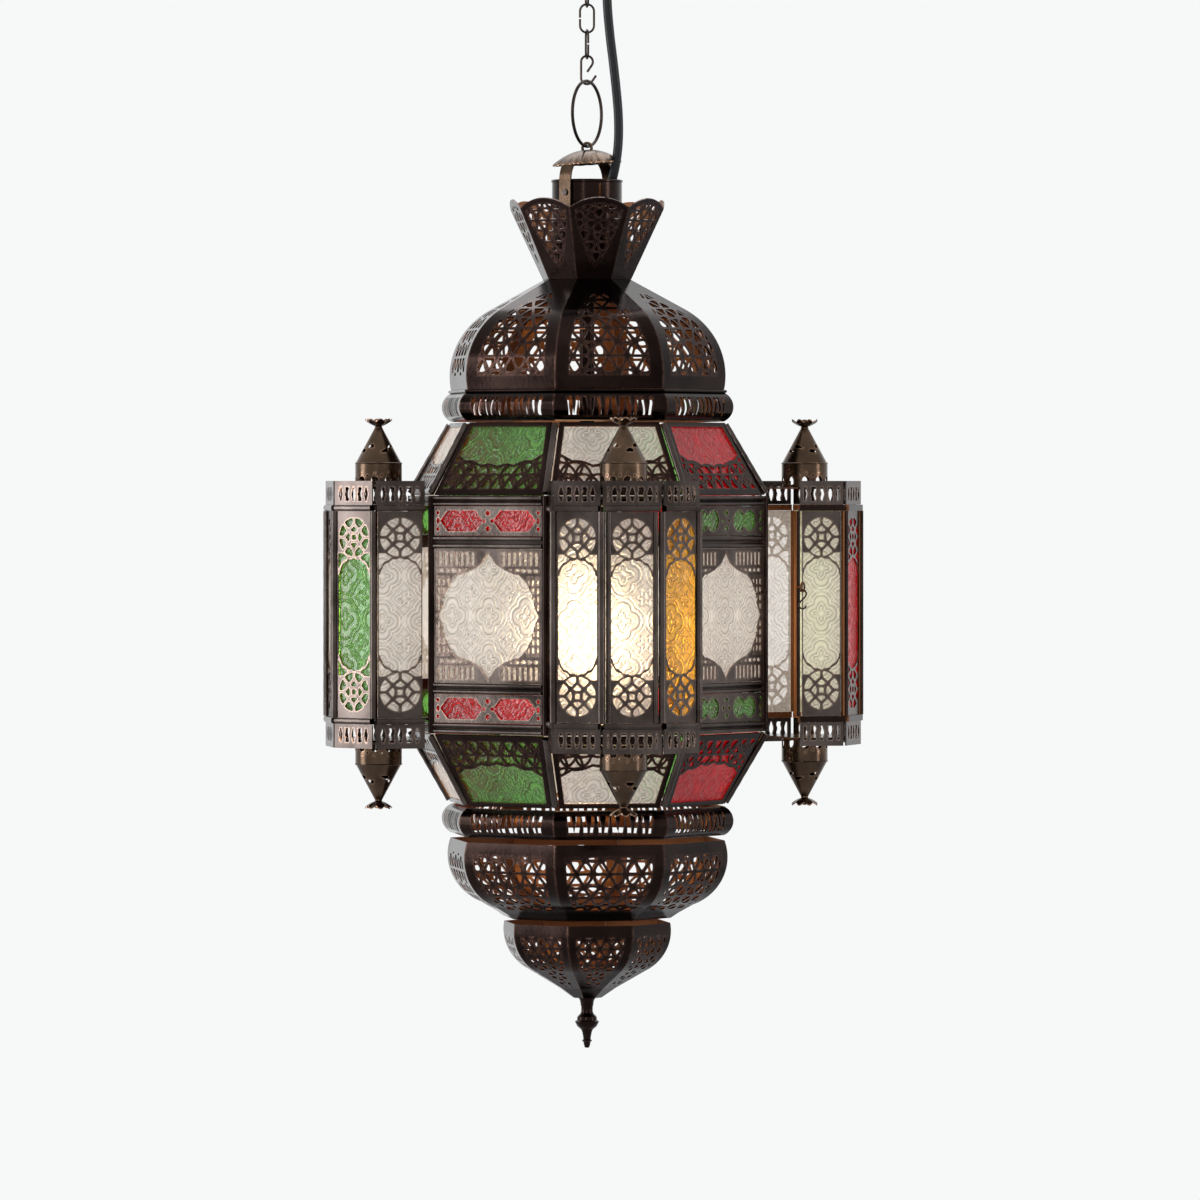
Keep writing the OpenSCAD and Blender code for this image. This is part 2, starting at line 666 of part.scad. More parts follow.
module bay_rods(plan) {
    for (i = [1:4]) translate([plan[i].x, plan[i].y, inner_low + moulding_h + 0.05])
        cylinder(d = rod_d, h = inner_top - inner_low - 2 * moulding_h - 0.1, $fn = 32);
}

// Plate of the bay's plan, set in or out by an allowance.
module bay_slab(back, grow, z, h) {
    p = bay_plan(back);
    translate([0, 0, z]) linear_extrude(h) polygon([[p[0].x, p[0].y - grow * 0.5], [p[1].x + grow * 0.4, p[1].y - grow],
        [p[2].x + grow, p[2].y - grow * 0.5], [p[3].x + grow, p[3].y + grow * 0.5],
        [p[4].x + grow * 0.4, p[4].y + grow], [p[5].x, p[5].y + grow * 0.5]]);
}

// Mouldings under the upper frieze and over the lower one: an open band round the bay.
module bay_mouldings(back) {
    for (z = [inner_low, inner_top - moulding_h]) for (i = [0:4]) {
        plan = bay_plan(back);
        gap = i == 0 || i == 4 ? 0.4 : 0.3;
        bay_sheet(plan, i, z, z + moulding_h, 2.6, 4.6, (i == 0 ? 0 : 1.1) + gap);
    }
}

module bay_frame(back) {
    bay_rods(bay_plan(back));
    bay_mouldings(back);
}

module bay_frames() {
    color(bronze) bays() bay_frame(bay_back);
}

// Pierced head or foot of one light: a rosette over an arched edge.
module light_head(wide) {
    r = wide / 2 - 4.2;
    translate([0, -r * 0.55]) circle(r * 1.06, $fn = 64);
    translate([0, fret_head / 2 + 1.4]) rosette(min(10.4, wide / 2 - 4.6), 6, 30);
}

light_low = inner_low + moulding_h + 0.1;
light_high = inner_top - moulding_h - 0.1;
module bay_fret(back) {
    plan = bay_plan(back);
    for (i = [0:4]) {
        wide = norm(plan[i + 1] - plan[i]);
        bay_sheet(plan, i, light_high - fret_head, light_high, 0.4, fret_sheet, 2.8) light_head(wide);
        bay_sheet(plan, i, light_low, light_low + fret_head, 0.4, fret_sheet, 2.8)
            translate([0, fret_head]) mirror([0, 1]) light_head(wide);
    }
}

module bay_fretwork() {
    color(bronze) bays() bay_fret(bay_back);
}

// Panes of a bay: one for each side listed.
module bay_panes(back, sides) {
    plan = bay_plan(back);
    for (i = sides) bay_sheet(plan, i, light_low, light_high, -0.5, pane - 0.6, 2.8);
}

// Which sides of the three fixed bays hold which glass, by the bay's direction.
module bay_glass(tint, back_sides, left_sides, front_sides) {
    color(tint) {
        rotate([0, 0, 90]) bay_panes(bay_back, back_sides);
        rotate([0, 0, 180]) bay_panes(bay_back, left_sides);
        rotate([0, 0, 270]) bay_panes(bay_back, front_sides);
    }
}

// Parapets above and below the glass, pierced with upright slots.
module bay_frieze(back) {
    plan = bay_plan(back);
    for (i = [0:4], z = [inner_top + 0.1, bay_low]) {
        wide = norm(plan[i + 1] - plan[i]);
        slots = floor((wide - 8) / 5);
        bay_sheet(plan, i, z, z + frieze_h - 0.1, 1, sheet, (i == 0 || i == 4) ? 1.2 : 0.6)
            for (s = [0:slots - 1]) translate([(s - (slots - 1) / 2) * 5 - 1, 3.4]) square([2, 9]);
    }
}

module bay_friezes() {
    color(bronze) bays() bay_frieze(bay_back);
}

cone_at = 141;
module bay_plate_pair(back) {
    bay_slab(back, -1.4, bay_top - 5.4, 1.2);
    bay_slab(back, -1.4, bay_low + 4.2, 1.2);
}

module bay_plates() {
    color(bronze) bays() bay_plate_pair(bay_back);
}

// Spire of sheet: a short drum with arches and a cone with curved slits; the drop below mirrors it.
drum_r = 15.6;
drum_h = 16;
cone_h = 24;
module spire_shape() {
    difference() {
        rotate_extrude($fn = 64) polygon([[0, 0], [drum_r, 0], [drum_r, drum_h], [drum_r - 0.6, drum_h + 0.6],
            [2.2, drum_h + cone_h], [0, drum_h + cone_h]]);
        rotate_extrude($fn = 64) polygon([[0, -1], [drum_r - 1, -1], [drum_r - 1, drum_h],
            [1.4, drum_h + cone_h - 2], [0, drum_h + cone_h - 2]]);
        for (i = [0:9]) rotate([0, 0, 36 * i + 12]) translate([drum_r - 3, 0, 5]) rotate([0, 90, 0])
            cylinder(d = 4.8, h = 6, $fn = 24);
        for (i = [0:3], row = [0, 1]) rotate([0, 0, 90 * i + 30 + 45 * row]) translate([0, 0, drum_h + 8 + 3 * row])
            rotate([90, 0, 90]) linear_extrude(14) lens(5.2, 1.8);
    }
}

// Flower of sheet, dished and cut to petals, on a short stem.
flower_r = 9;
module flower_shape() {
    intersection() {
        rotate_extrude($fn = 64) polygon([[0, 0.8], [3, 1], [6.2, 2.6], [flower_r, 5.2], [flower_r, 6.1], [6, 3.5],
            [2.8, 1.9], [0, 1.8]]);
        linear_extrude(8) {
            circle(6.8, $fn = 48);
            for (i = [0:7]) rotate(45 * i) translate([6.3, 0]) circle(2.7, $fn = 32);
        }
    }
    cylinder(r = 2.5, h = 1.2, $fn = 32);
    translate([0, 0, 1]) cylinder(r1 = 1.6, r2 = 1.2, h = 4.4, $fn = 32);
}

module bay_cone_pair() {
    translate([cone_at, 0, bay_top - 4.15]) spire_shape();
    translate([cone_at, 0, bay_low + 4.15]) mirror([0, 0, 1]) spire_shape();
}

module bay_flower_pair() {
    rise = drum_h + cone_h + 0.05;
    translate([cone_at, 0, bay_top - 4.15 + rise]) flower_shape();
    translate([cone_at, 0, bay_low + 4.15 - rise]) mirror([0, 0, 1]) flower_shape();
}

module bay_cones() {
    color(bronze) bays() bay_cone_pair();
}

module bay_flowers() {
    color("#6b5440") bays() bay_flower_pair();
}

// ---------- door ----------

hinge_at = [wall_r + 4.6, half_side + 4.6];
knuckle_h = 5;
hinge_levels = [wall_z - 34, wall_z - 124];
latch_z = wall_z - 64;

module hinge_knuckle() {
    translate([hinge_at.x, hinge_at.y, -knuckle_h / 2]) difference() {
        cylinder(d = 5, h = knuckle_h, $fn = 32);
        translate([0, 0, -1]) cylinder(d = 2.5, h = knuckle_h + 2, $fn = 32);
    }
}

// Leaf from the barrel to the corner post.
module leaf_to_post() {
    post = post_r * [cos(half_face), sin(half_face)];
    v = hinge_at - post;
    translate([post.x, post.y, -knuckle_h / 2]) rotate([0, 0, atan2(v.y, v.x)])
        translate([post_d / 2 - 0.3, -0.5, 0]) cube([norm(v) - post_d / 2 - 1.9, 1, knuckle_h]);
}

// Turns its children open about the hinge.
module opened() {
    translate([hinge_at.x, hinge_at.y, 0]) rotate([0, 0, door_open])
        translate([-hinge_at.x, -hinge_at.y, 0]) children();
}

stile_at = [door_back, half_side - 4];
module door_frame() {
    color(bronze) opened() {
        bay_frame(door_back);
        for (s = [-1, 1]) translate([stile_at.x, s * stile_at.y, inner_low + moulding_h + 0.05])
            cylinder(d = 4, h = inner_top - inner_low - 2 * moulding_h - 0.1, $fn = 32);
        for (z = hinge_levels) translate([0, 0, z]) {
            hinge_knuckle();
            translate([hinge_at.x - 0.4, stile_at.y + 1.8, -knuckle_h / 2])
                cube([1, hinge_at.y - stile_at.y - 3.8, knuckle_h]);
        }
        latch_eye();
    }
}

// Wire eye on the near stile; the latch hook hangs on its lowest wire.
eye_r = 3.2;
latch_wire = 1.2;
latch_stem = 6.8;
latch_at = [stile_at.x, -stile_at.y - latch_stem - eye_r];
module latch_eye() {
    translate([latch_at.x, latch_at.y, latch_z + eye_r]) {
        rotate([90, 0, 90]) rotate_extrude($fn = 48) translate([eye_r, 0]) circle(d = latch_wire, $fn = 24);
        translate([0, eye_r, 0]) rotate([-90, 0, 0]) cylinder(d = latch_wire, h = latch_stem, $fn = 24);
    }
}

// S of wire hanging in the eye by its upper curl; the lower one catches the keeper pin.
module latch_hook() {
    r = 2.6;
    top = latch_wire + 0.1 - r;
    low = top - 4 * r * sin(45);
    color(dark_steel) opened() translate([latch_at.x, latch_at.y, latch_z])
        tube_along(concat(arc_up(0, top, r, 165, -45, 12), arc_up(0, low, r, 135, 345, 12)), latch_wire, 10);
}

module door_fretwork() {
    color(bronze) opened() bay_fret(door_back);
}

module door_glass(tint, sides) {
    color(tint) opened() bay_panes(door_back, sides);
}

module door_friezes() {
    color(bronze) opened() bay_frieze(door_back);
}

module door_plates() {
    color(bronze) opened() bay_plate_pair(door_back);
}

module door_cones() {
    color(bronze) opened() bay_cone_pair();
}

module door_flowers() {
    color("#6b5440") opened() bay_flower_pair();
}

module hinge_pins() {
    color(dark_steel) for (z = hinge_levels) translate([hinge_at.x, hinge_at.y, z]) {
        translate([0, 0, -9]) cylinder(d = 2.4, h = 18, $fn = 32);
        translate([0, 0, 8.1]) cylinder(d = 4, h = 1.2, $fn = 32);
    }
}

// ---------- bowls and finial ----------

// Inverted bowl of petals under the lower bead ring.
bowl_r = 34.3;
bowl_side = 88.9;
function bowl_line(inset) = concat(
    arc(bowl_side - bowl_r, bowl_z - 14, bowl_r - inset, 19, -69, 9),
    [[58 - inset * 0.9, bowl_z - 51.4], [53 - inset, bowl_z - 55]]);
module lower_bowl() {
    color(bronze) eight(bowl_z - 56.8, bowl_z) difference() {
        folded(concat(bowl_line(0), flip(bowl_line(sheet))));
        rotate([90, 0, 90]) linear_extrude(120) bowl_piercing();
    }
}

module bowl_piercing() {
    translate([0, bowl_z - 19]) rosette(9.4, 6, 0);
    for (s = [-1, 1]) translate([s * 17.6, bowl_z - 19]) rosette(7, 4, 45);
    translate([0, bowl_z - 35]) rosette(6.4, 4, 45);
}

tail_r = 30.7;
function tail_line(inset) = concat(
    arc(53.2 - tail_r, tail_z - 6.6, tail_r - inset, 10, -62, 8),
    [[18.4 - inset * 0.8, tail_z - 45.2], [9.2 - inset * 0.8, tail_z - 52]]);
module tail_bowl() {
    color(bronze) eight(tail_z - 53, tail_z) difference() {
        folded(concat(tail_line(0), flip(tail_line(sheet))));
        rotate([90, 0, 90]) linear_extrude(120) {
            translate([0, tail_z - 13]) rosette(7.6, 6, 0);
            translate([0, tail_z - 26]) rosette(5, 4, 45);
        }
    }
}

// Turned: a flange, a waisted neck, a ridged knob and a tapering tip with a bead.
module finial() {
    color(bronze) translate([0, 0, finial_z]) rotate_extrude($fn = 48) polygon([[0, 0], [10.2, 0], [10.2, -0.4],
        [7.4, -1.4], [5.6, -1.8], [5.2, -2.8], [4.5, -3.4], [4, -6.2], [4, -8.8], [5.2, -11.2], [6.4, -12.4],
        [6.7, -14.8], [8.1, -15.6], [7.2, -17.4], [5.2, -20], [3.3, -22.6], [2.5, -27.4], [3.3, -28.2], [3.3, -28.8],
        [2.4, -29.4], [1.6, -32.6], [1.1, -33.4], [0, -33.4]]);
}

// ---------- lamp ----------

holder_top = wall_z + 3;   // the lamp hangs on a pipe in the middle of the body
holder_h = 52;
module holder_nipple() {
    color("#b08d57") difference() {
        union() {
            translate([0, 0, holder_top - 5]) cylinder(d = 10, h = nipple_top - holder_top + 5, $fn = 32);
            translate([0, 0, dome_z + 3]) cylinder(d = 16, h = 3, $fn = 6);
            translate([0, 0, dome_z - 1.6]) cylinder(d = 16, h = 3, $fn = 6);
        }
        translate([0, 0, holder_top - 6]) cylinder(d = cable_d + 0.6, h = 200, $fn = 32);
    }
}

module lamp_holder() {
    color("#26221f") difference() {
        union() {
            translate([0, 0, holder_top - holder_h]) cylinder(d = 40, h = holder_h - 12, $fn = 64);
            translate([0, 0, holder_top - 12]) rotate_extrude($fn = 64)
                polygon([[0, 0], [20, 0], [20, 1], [12, 12], [0, 12]]);
        }
        translate([0, 0, holder_top - holder_h - 1]) cylinder(d = 27.4, h = 33, $fn = 64);
        translate([0, 0, holder_top - 6]) cylinder(d = 10.3, h = 8, $fn = 32);
    }
}

// Bulb: screwed cap in the holder, pear-shaped glass below.
cap_z = holder_top - holder_h;
module bulb_cap() {
    color("#c9b27c") {
        translate([0, 0, cap_z + 3.4]) cylinder(d = 26.6, h = 22, $fn = 64);
        translate([0, 0, cap_z + 25.4]) cylinder(d1 = 20, d2 = 9, h = 3.4, $fn = 64);
    }
}

module bulb_glass() {
    r = bulb_d / 2;
    wall = 1;
    color([1, 0.95, 0.82, 0.6]) translate([0, 0, cap_z + 3.3]) rotate_extrude($fn = 64) polygon(concat(
        [[13, 0], [13.4, -14]], arc(0, -54, r, 32, -90, 16),
        flip(concat([[13 - wall, 0], [13.4 - wall, -14]], arc(0, -54, r - wall, 32, -90, 16)))));
}

// ---------- assembly ----------

ceiling_bracket();
ceiling_rose();
ceiling_hook();
hook_nut();
cord_grip();
chain_link_at(0, 90);  // chain_link_1
chain_link_at(1, 0);  // chain_link_2
chain_link_at(2, 90);  // chain_link_3
s_hook();
hanging_ring();
supply_cable();
split_pin();
rosette_cap();
strap_handle();
strap_rivets();
cable_collar();
neck_plate();
crown_panels();
dome_petals();
bead_ring(bead_z);  // upper_bead_ring
slope_frames();
slope_ribs();
slope_glass(clear_sides, clear_glass);  // slope_glass_clear
slope_glass(green_sides, green_glass);  // slope_glass_green
slope_glass(red_sides, red_glass);  // slope_glass_red
corner_posts();
wall_rails();
strip_panels();
strip_glass(red_strips, red_glass);  // strip_glass_red
strip_glass(green_strips, green_glass);  // strip_glass_green
panel_lattices();
panel_glass();
bay_frames();
bay_fretwork();
bay_glass(clear_glass, [0, 2, 4], [0, 2, 4], [0, 1, 2, 4]);  // bay_glass_clear
bay_glass(green_glass, [1], [3], []);  // bay_glass_green
bay_glass(amber_glass, [3], [1], [3]);  // bay_glass_amber
bay_friezes();
bay_plates();
bay_cones();
bay_flowers();
door_frame();
door_fretwork();
door_glass(clear_glass, [0, 2, 4]);  // door_glass_clear
door_glass(green_glass, [3]);  // door_glass_green
door_glass(red_glass, [1]);  // door_glass_red
door_friezes();
door_plates();
door_cones();
door_flowers();
hinge_pins();
latch_hook();
bead_ring(low_bead_z);  // lower_bead_ring
lower_bowl();
tail_bowl();
finial();
holder_nipple();
lamp_holder();
bulb_cap();
bulb_glass();
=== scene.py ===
"""A hanging lantern of pierced bronze sheet and pressed glass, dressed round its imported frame."""
from math import cos, pi, radians, sin, sqrt, tan

import bpy
import numpy as np
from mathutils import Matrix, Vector

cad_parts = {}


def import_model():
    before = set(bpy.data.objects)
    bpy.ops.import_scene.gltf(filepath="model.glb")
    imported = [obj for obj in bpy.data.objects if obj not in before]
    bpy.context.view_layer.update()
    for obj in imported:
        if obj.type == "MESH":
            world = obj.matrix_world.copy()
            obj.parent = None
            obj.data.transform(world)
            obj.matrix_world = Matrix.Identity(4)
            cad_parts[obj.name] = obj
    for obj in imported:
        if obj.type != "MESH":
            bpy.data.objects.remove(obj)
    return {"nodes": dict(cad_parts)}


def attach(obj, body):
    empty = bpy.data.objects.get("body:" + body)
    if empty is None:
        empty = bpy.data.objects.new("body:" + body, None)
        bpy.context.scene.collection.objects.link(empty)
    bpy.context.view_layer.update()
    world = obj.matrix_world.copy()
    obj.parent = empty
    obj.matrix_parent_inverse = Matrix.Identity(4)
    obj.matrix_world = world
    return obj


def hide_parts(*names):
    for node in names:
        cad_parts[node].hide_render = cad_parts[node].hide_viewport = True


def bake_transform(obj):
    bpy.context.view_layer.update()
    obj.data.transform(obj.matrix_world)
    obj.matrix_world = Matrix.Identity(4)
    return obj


bl_info = {
    "name": "Pierced lantern",
    "version": (1, 0, 0),
    "blender": (4, 5, 0),
    "location": "View3D > Sidebar > Lantern",
    "description": "Pieces and finishes of a hanging lantern of pierced sheet and pressed glass",
    "category": "Object",
}

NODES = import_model()["nodes"]
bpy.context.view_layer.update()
MM = 0.001


def in_mm(metres):
    """A size of the panel in millimetres, without the rounding of its short number."""
    return round(metres / MM, 3)


# ---------- levels and sizes of the frame, in millimetres ----------
EIGHTH = pi / 4
T8 = tan(pi / 8)              # half a side of an octagon over its apothem
CAP_TOP, CROWN_Z, DOME_Z, BEAD_Z = -207.2, -241.0, -294.6, -370.2
SLOPE_Z, WALL_Z, SILL_Z, LOW_BEAD_Z, BOWL_Z, TAIL_Z = -390.2, -439.2, -596.0, -646.2, -666.2, -723.2
WALL_R = 113.3                # apothem of the octagonal wall
STRAP_TURN = radians(54)      # turn of the strap and of the hanging ring about the axis
RAILS = ((WALL_Z, 6.7), (WALL_Z - 26.1, 8.7), (WALL_Z - 123.3, 7.3), (WALL_Z - 149.6, 7.2))
BAY_TOP, BAY_LOW, FRIEZE_H, MOULD_H = -429.2, -606.2, 16.0, 4.0
INNER_TOP, INNER_LOW = BAY_TOP - FRIEZE_H, BAY_LOW + FRIEZE_H
LIGHT_LOW, LIGHT_HIGH = INNER_LOW + MOULD_H + 0.1, INNER_TOP - MOULD_H - 0.1
BAY_BACK, DOOR_BACK = 115.5, 118.9
HINGE, DOOR_TURN = (117.9, 51.5304), radians(10)
SPIRE_R, DRUM_R, CONE_FOOT_R, CONE_H = 141.0, 15.5, 15.3, 24.2


# ---------- shapes ----------

def turned(points, angle, about=(0.0, 0.0)):
    """Turns points about a vertical line."""
    p = np.array(points, float)
    c, s = cos(angle), sin(angle)
    x, y = p[..., 0] - about[0], p[..., 1] - about[1]
    p[..., 0], p[..., 1] = about[0] + c * x - s * y, about[1] + s * x + c * y
    return p


def on_bay(points, turn, angle):
    """Turns points of a bay that faces +X about the hinge, and then to the side that it stands on."""
    return turned(turned(points, turn, HINGE) if turn else points, angle)


def points_of(*parts):
    """Joins coordinates into points."""
    return np.stack(np.broadcast_arrays(*parts), -1)


def circle(steps):
    """Angles of evenly spaced points round a circle."""
    return np.linspace(0, 2 * pi, steps, endpoint=False)


def arc(cx, cz, r, start, end, steps):
    """Points on a circle in a plane of two coordinates; angles in degrees."""
    a = np.radians(np.linspace(start, end, steps + 1))
    return points_of(cx + r * np.cos(a), cz + r * np.sin(a))


def flat(half):
    """A half width that is the same at every height."""
    return lambda y: np.full(np.shape(y), half)


class Shape:
    """Gathers closed shells in millimetres and makes them one mesh in metres."""

    def __init__(self):
        self.points, self.polys, self.worn, self.count = [], [], [], 0

    def add(self, points, polys, worn=None):
        """Adds a closed shell. Its signed volume, the sum of triple products of its fans, says whether to
        flip it."""
        p = np.asarray(points, float).reshape(-1, 3)
        polys = [np.asarray(q, int) for q in polys if len(q)]
        centre = p.mean(axis=0)
        volume = 0.0
        for q in polys:
            a = p[q[:, 0]] - centre
            for k in range(1, q.shape[1] - 1):
                fan = np.cross(p[q[:, k]] - centre, p[q[:, k + 1]] - centre)
                volume += np.einsum("ij,ij->i", a, fan).sum()
        if volume < 0:
            polys = [q[:, ::-1] for q in polys]
        self.points.append(p)
        self.polys += [q + self.count for q in polys]
        self.worn.append(np.zeros(len(p)) if worn is None else np.asarray(worn, float).ravel())
        self.count += len(p)

    def tube(self, rings, closed=False):
        """A shell of rings of points: rows follow the path, columns go round. A polygon closes each end."""
        rings = np.asarray(rings, float)
        n, m = rings.shape[:2]
        i = np.arange(n if closed else n - 1)[:, None]
        j = np.arange(m)[None, :]
        i, i2, j, j2 = np.broadcast_arrays(i, (i + 1) % n, j, (j + 1) % m)
        polys = [np.stack([i * m + j, i2 * m + j, i2 * m + j2, i * m + j2], -1).reshape(-1, 4)]
        if not closed:
            polys += [np.arange(m)[None, ::-1], (n - 1) * m + np.arange(m)[None, :]]
        self.add(rings, polys)

    def wire(self, path, radius, sides=12, closed=False):
        """A round wire along a path: each ring stands across the path's direction. The across direction is
        carried from ring to ring by taking out its part along the path."""
        path = np.asarray(path, float)
        step = np.roll(path, -1, 0) - np.roll(path, 1, 0)
        if not closed:
            step[0], step[-1] = path[1] - path[0], path[-1] - path[-2]
        d = step / np.linalg.norm(step, axis=1)[:, None]
        u = np.zeros_like(d)
        start = np.array([0.0, 1.0, 0.0]) if abs(d[0, 1]) < 0.8 else np.array([1.0, 0.0, 0.0])
        for i in range(len(d)):
            start = start - d[i] * (start @ d[i])
            start /= np.linalg.norm(start)
            u[i] = start
        v = np.cross(d, u)
        t = circle(sides)[None, :, None]
        radius = np.broadcast_to(np.asarray(radius, float), (len(path),))[:, None, None]
        self.tube(path[:, None] + radius * (np.cos(t) * u[:, None] + np.sin(t) * v[:, None]), closed)

    def lathe(self, profile, steps, place=points_of):
        """A profile of (radius, z) turned about the vertical line that place works from."""
        r, z = np.asarray(profile, float).T[:, :, None]
        r, t = np.maximum(r, 1e-3), circle(steps)
        self.tube(place(r * np.cos(t), r * np.sin(t), np.broadcast_to(z, (len(z), steps))))

    def box(self, low, high, place):
        """A box between two corners, put in place by a function of its points."""
        (x0, y0, z0), (x1, y1, z1) = low, high
        p = np.array([[x, y, z] for z in (z0, z1) for x, y in ((x0, y0), (x1, y0), (x1, y1), (x0, y1))])
        self.add(place(p), [np.array([[0, 3, 2, 1], [4, 5, 6, 7], [0, 1, 5, 4], [1, 2, 6, 5], [2, 3, 7, 6],
                                      [3, 0, 4, 7]])])

    def plate(self, pattern, outer, inner):
        """A pierced sheet: pattern is (points, polys, worn); outer and inner map it to the two faces."""
        pts, polys, worn = pattern
        n = len(pts)
        edges = np.concatenate([np.stack([q, np.roll(q, -1, axis=1)], -1).reshape(-1, 2) for q in polys])
        code, back = edges[:, 0] * n + edges[:, 1], edges[:, 1] * n + edges[:, 0]
        a, b = edges[~np.isin(code, back)].T
        self.add(np.concatenate([outer(*pts.T), inner(*pts.T)]),
                 list(polys) + [q[:, ::-1] + n for q in polys] + [np.stack([b, a, a + n, b + n], -1)],
                 np.concatenate([worn, worn]))

    def build(self, name, node, finish="bronze", body="lantern", slot="bronze", crease=32.0):
        """Makes the mesh, gives it its finish, and lets it ride on a body in the place of a frame node."""
        mesh = bpy.data.meshes.new(name)
        points = np.concatenate(self.points) * MM
        starts, total = [], 0
        for q in self.polys:
            starts.append(total + np.arange(len(q)) * q.shape[1])
            total += q.size
        starts, loops = np.concatenate(starts), np.concatenate([q.ravel() for q in self.polys])
        mesh.vertices.add(len(points))
        mesh.vertices.foreach_set("co", points.astype(np.float32).ravel())
        mesh.loops.add(len(loops))
        mesh.loops.foreach_set("vertex_index", loops.astype(np.int32))
        mesh.polygons.add(len(starts))
        mesh.polygons.foreach_set("loop_start", starts.astype(np.int32))
        mesh.update(calc_edges=True)
        mesh.validate()
        mesh.polygons.foreach_set("use_smooth", np.ones(len(mesh.polygons), bool))
        mesh.set_sharp_from_angle(angle=radians(crease))
        # per point: on metal, wear at the edges of holes; on panes, painted light and shade of the relief
        layer = mesh.attributes.new("worn", "FLOAT", "POINT")
        layer.data.foreach_set("value", np.concatenate(self.worn).astype(np.float32))
        mesh.materials.append(FINISH[finish])
        obj = placed(name, mesh)
        if body:
            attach(obj, body)
        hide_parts(node)
        return obj


def placed(name, data):
    """An object of some data, in the scene."""
    obj = bpy.data.objects.new(name, data)
    bpy.context.scene.collection.objects.link(obj)
    return obj


CELL_CASES = {                # corners a to d and side points e to h of the cell, by which corners are inside
    1: ("aeh",), 2: ("bfe",), 3: ("abfh",), 4: ("cgf",), 5: ("aeh", "cgf"), 6: ("bcge",), 7: ("abcgh",),
    8: ("dhg",), 9: ("aegd",), 10: ("bfe", "dhg"), 11: ("abfgd",), 12: ("cdhf",), 13: ("aefcd",),
    14: ("bcdhe",), 15: ("abcd",)}


def contour(f, x, y):
    """The part of a grid where f is above zero, as polygons. A border point lies where f, taken as a straight
    line along a cell's side, crosses zero. Worn falls from 1 at a border to 0 at 0.7 mm from it."""
    n = f.size
    ids = np.arange(n).reshape(f.shape)
    base = points_of(x, y)

    def crossing(f0, f1, p0, p1):
        return p0 + (p1 - p0) * np.clip(f0 / np.where(f0 == f1, 1, f0 - f1), 0.03, 0.97)[..., None]

    along, up = np.zeros(base.shape), np.zeros(base.shape)
    along[:-1] = crossing(f[:-1], f[1:], base[:-1], base[1:])
    up[:, :-1] = crossing(f[:, :-1], f[:, 1:], base[:, :-1], base[:, 1:])
    points = np.concatenate([base.reshape(-1, 2), along.reshape(-1, 2), up.reshape(-1, 2)])
    corners = ids[:-1, :-1], ids[1:, :-1], ids[1:, 1:], ids[:-1, 1:]
    inside = (f > 0).ravel()
    code = sum(inside[c] * 2 ** i for i, c in enumerate(corners))
    a, b, c, d = corners
    spot = dict(zip("abcdefgh", (a, b, c, d, n + a, 2 * n + b, n + d, 2 * n + a)))
    by_size = {3: [], 4: [], 5: []}
    for case, shapes in CELL_CASES.items():
        for shape in shapes:
            by_size[len(shape)].append(np.stack([spot[s][code == case] for s in shape], -1))
    polys = [q for q in map(np.concatenate, by_size.values()) if len(q)]
    used = np.unique(np.concatenate([q.ravel() for q in polys]))
    new = np.zeros(len(points), int)
    new[used] = np.arange(len(used))
    height = np.concatenate([f.ravel(), np.zeros(2 * n)])[used]
    return points[used], [new[q] for q in polys], np.clip(1 - height / 0.7, 0, 1)


def panel(half, height, cells, metal, start=0.0):
    """A pierced blank of cells (across, up): x runs over plus and minus half(y), y from start on over height.
    metal(x, y) is the distance, in millimetres, from a point to the nearest hole's edge, below 0 in a hole."""
    y = np.linspace(start, start + height, cells[1] + 1)
    x = np.linspace(-1, 1, cells[0] + 1)[:, None] * half(y)[None, :]
    yy = np.broadcast_to(y[None, :], x.shape)
    return contour(metal(x, yy), x, yy)


def cells_of(width, height, size):
    """How many cells of a size lie across and up a blank."""
    return int(width / size), int(height / size)


# ---------- finishes ----------

MIX_COLOURS, MIX_RESULT = (6, 7), 2      # sockets of a Mix node: its two colours and its colour output
MIX_VALUES = (0, 2, 3)                   # its factor and its two values


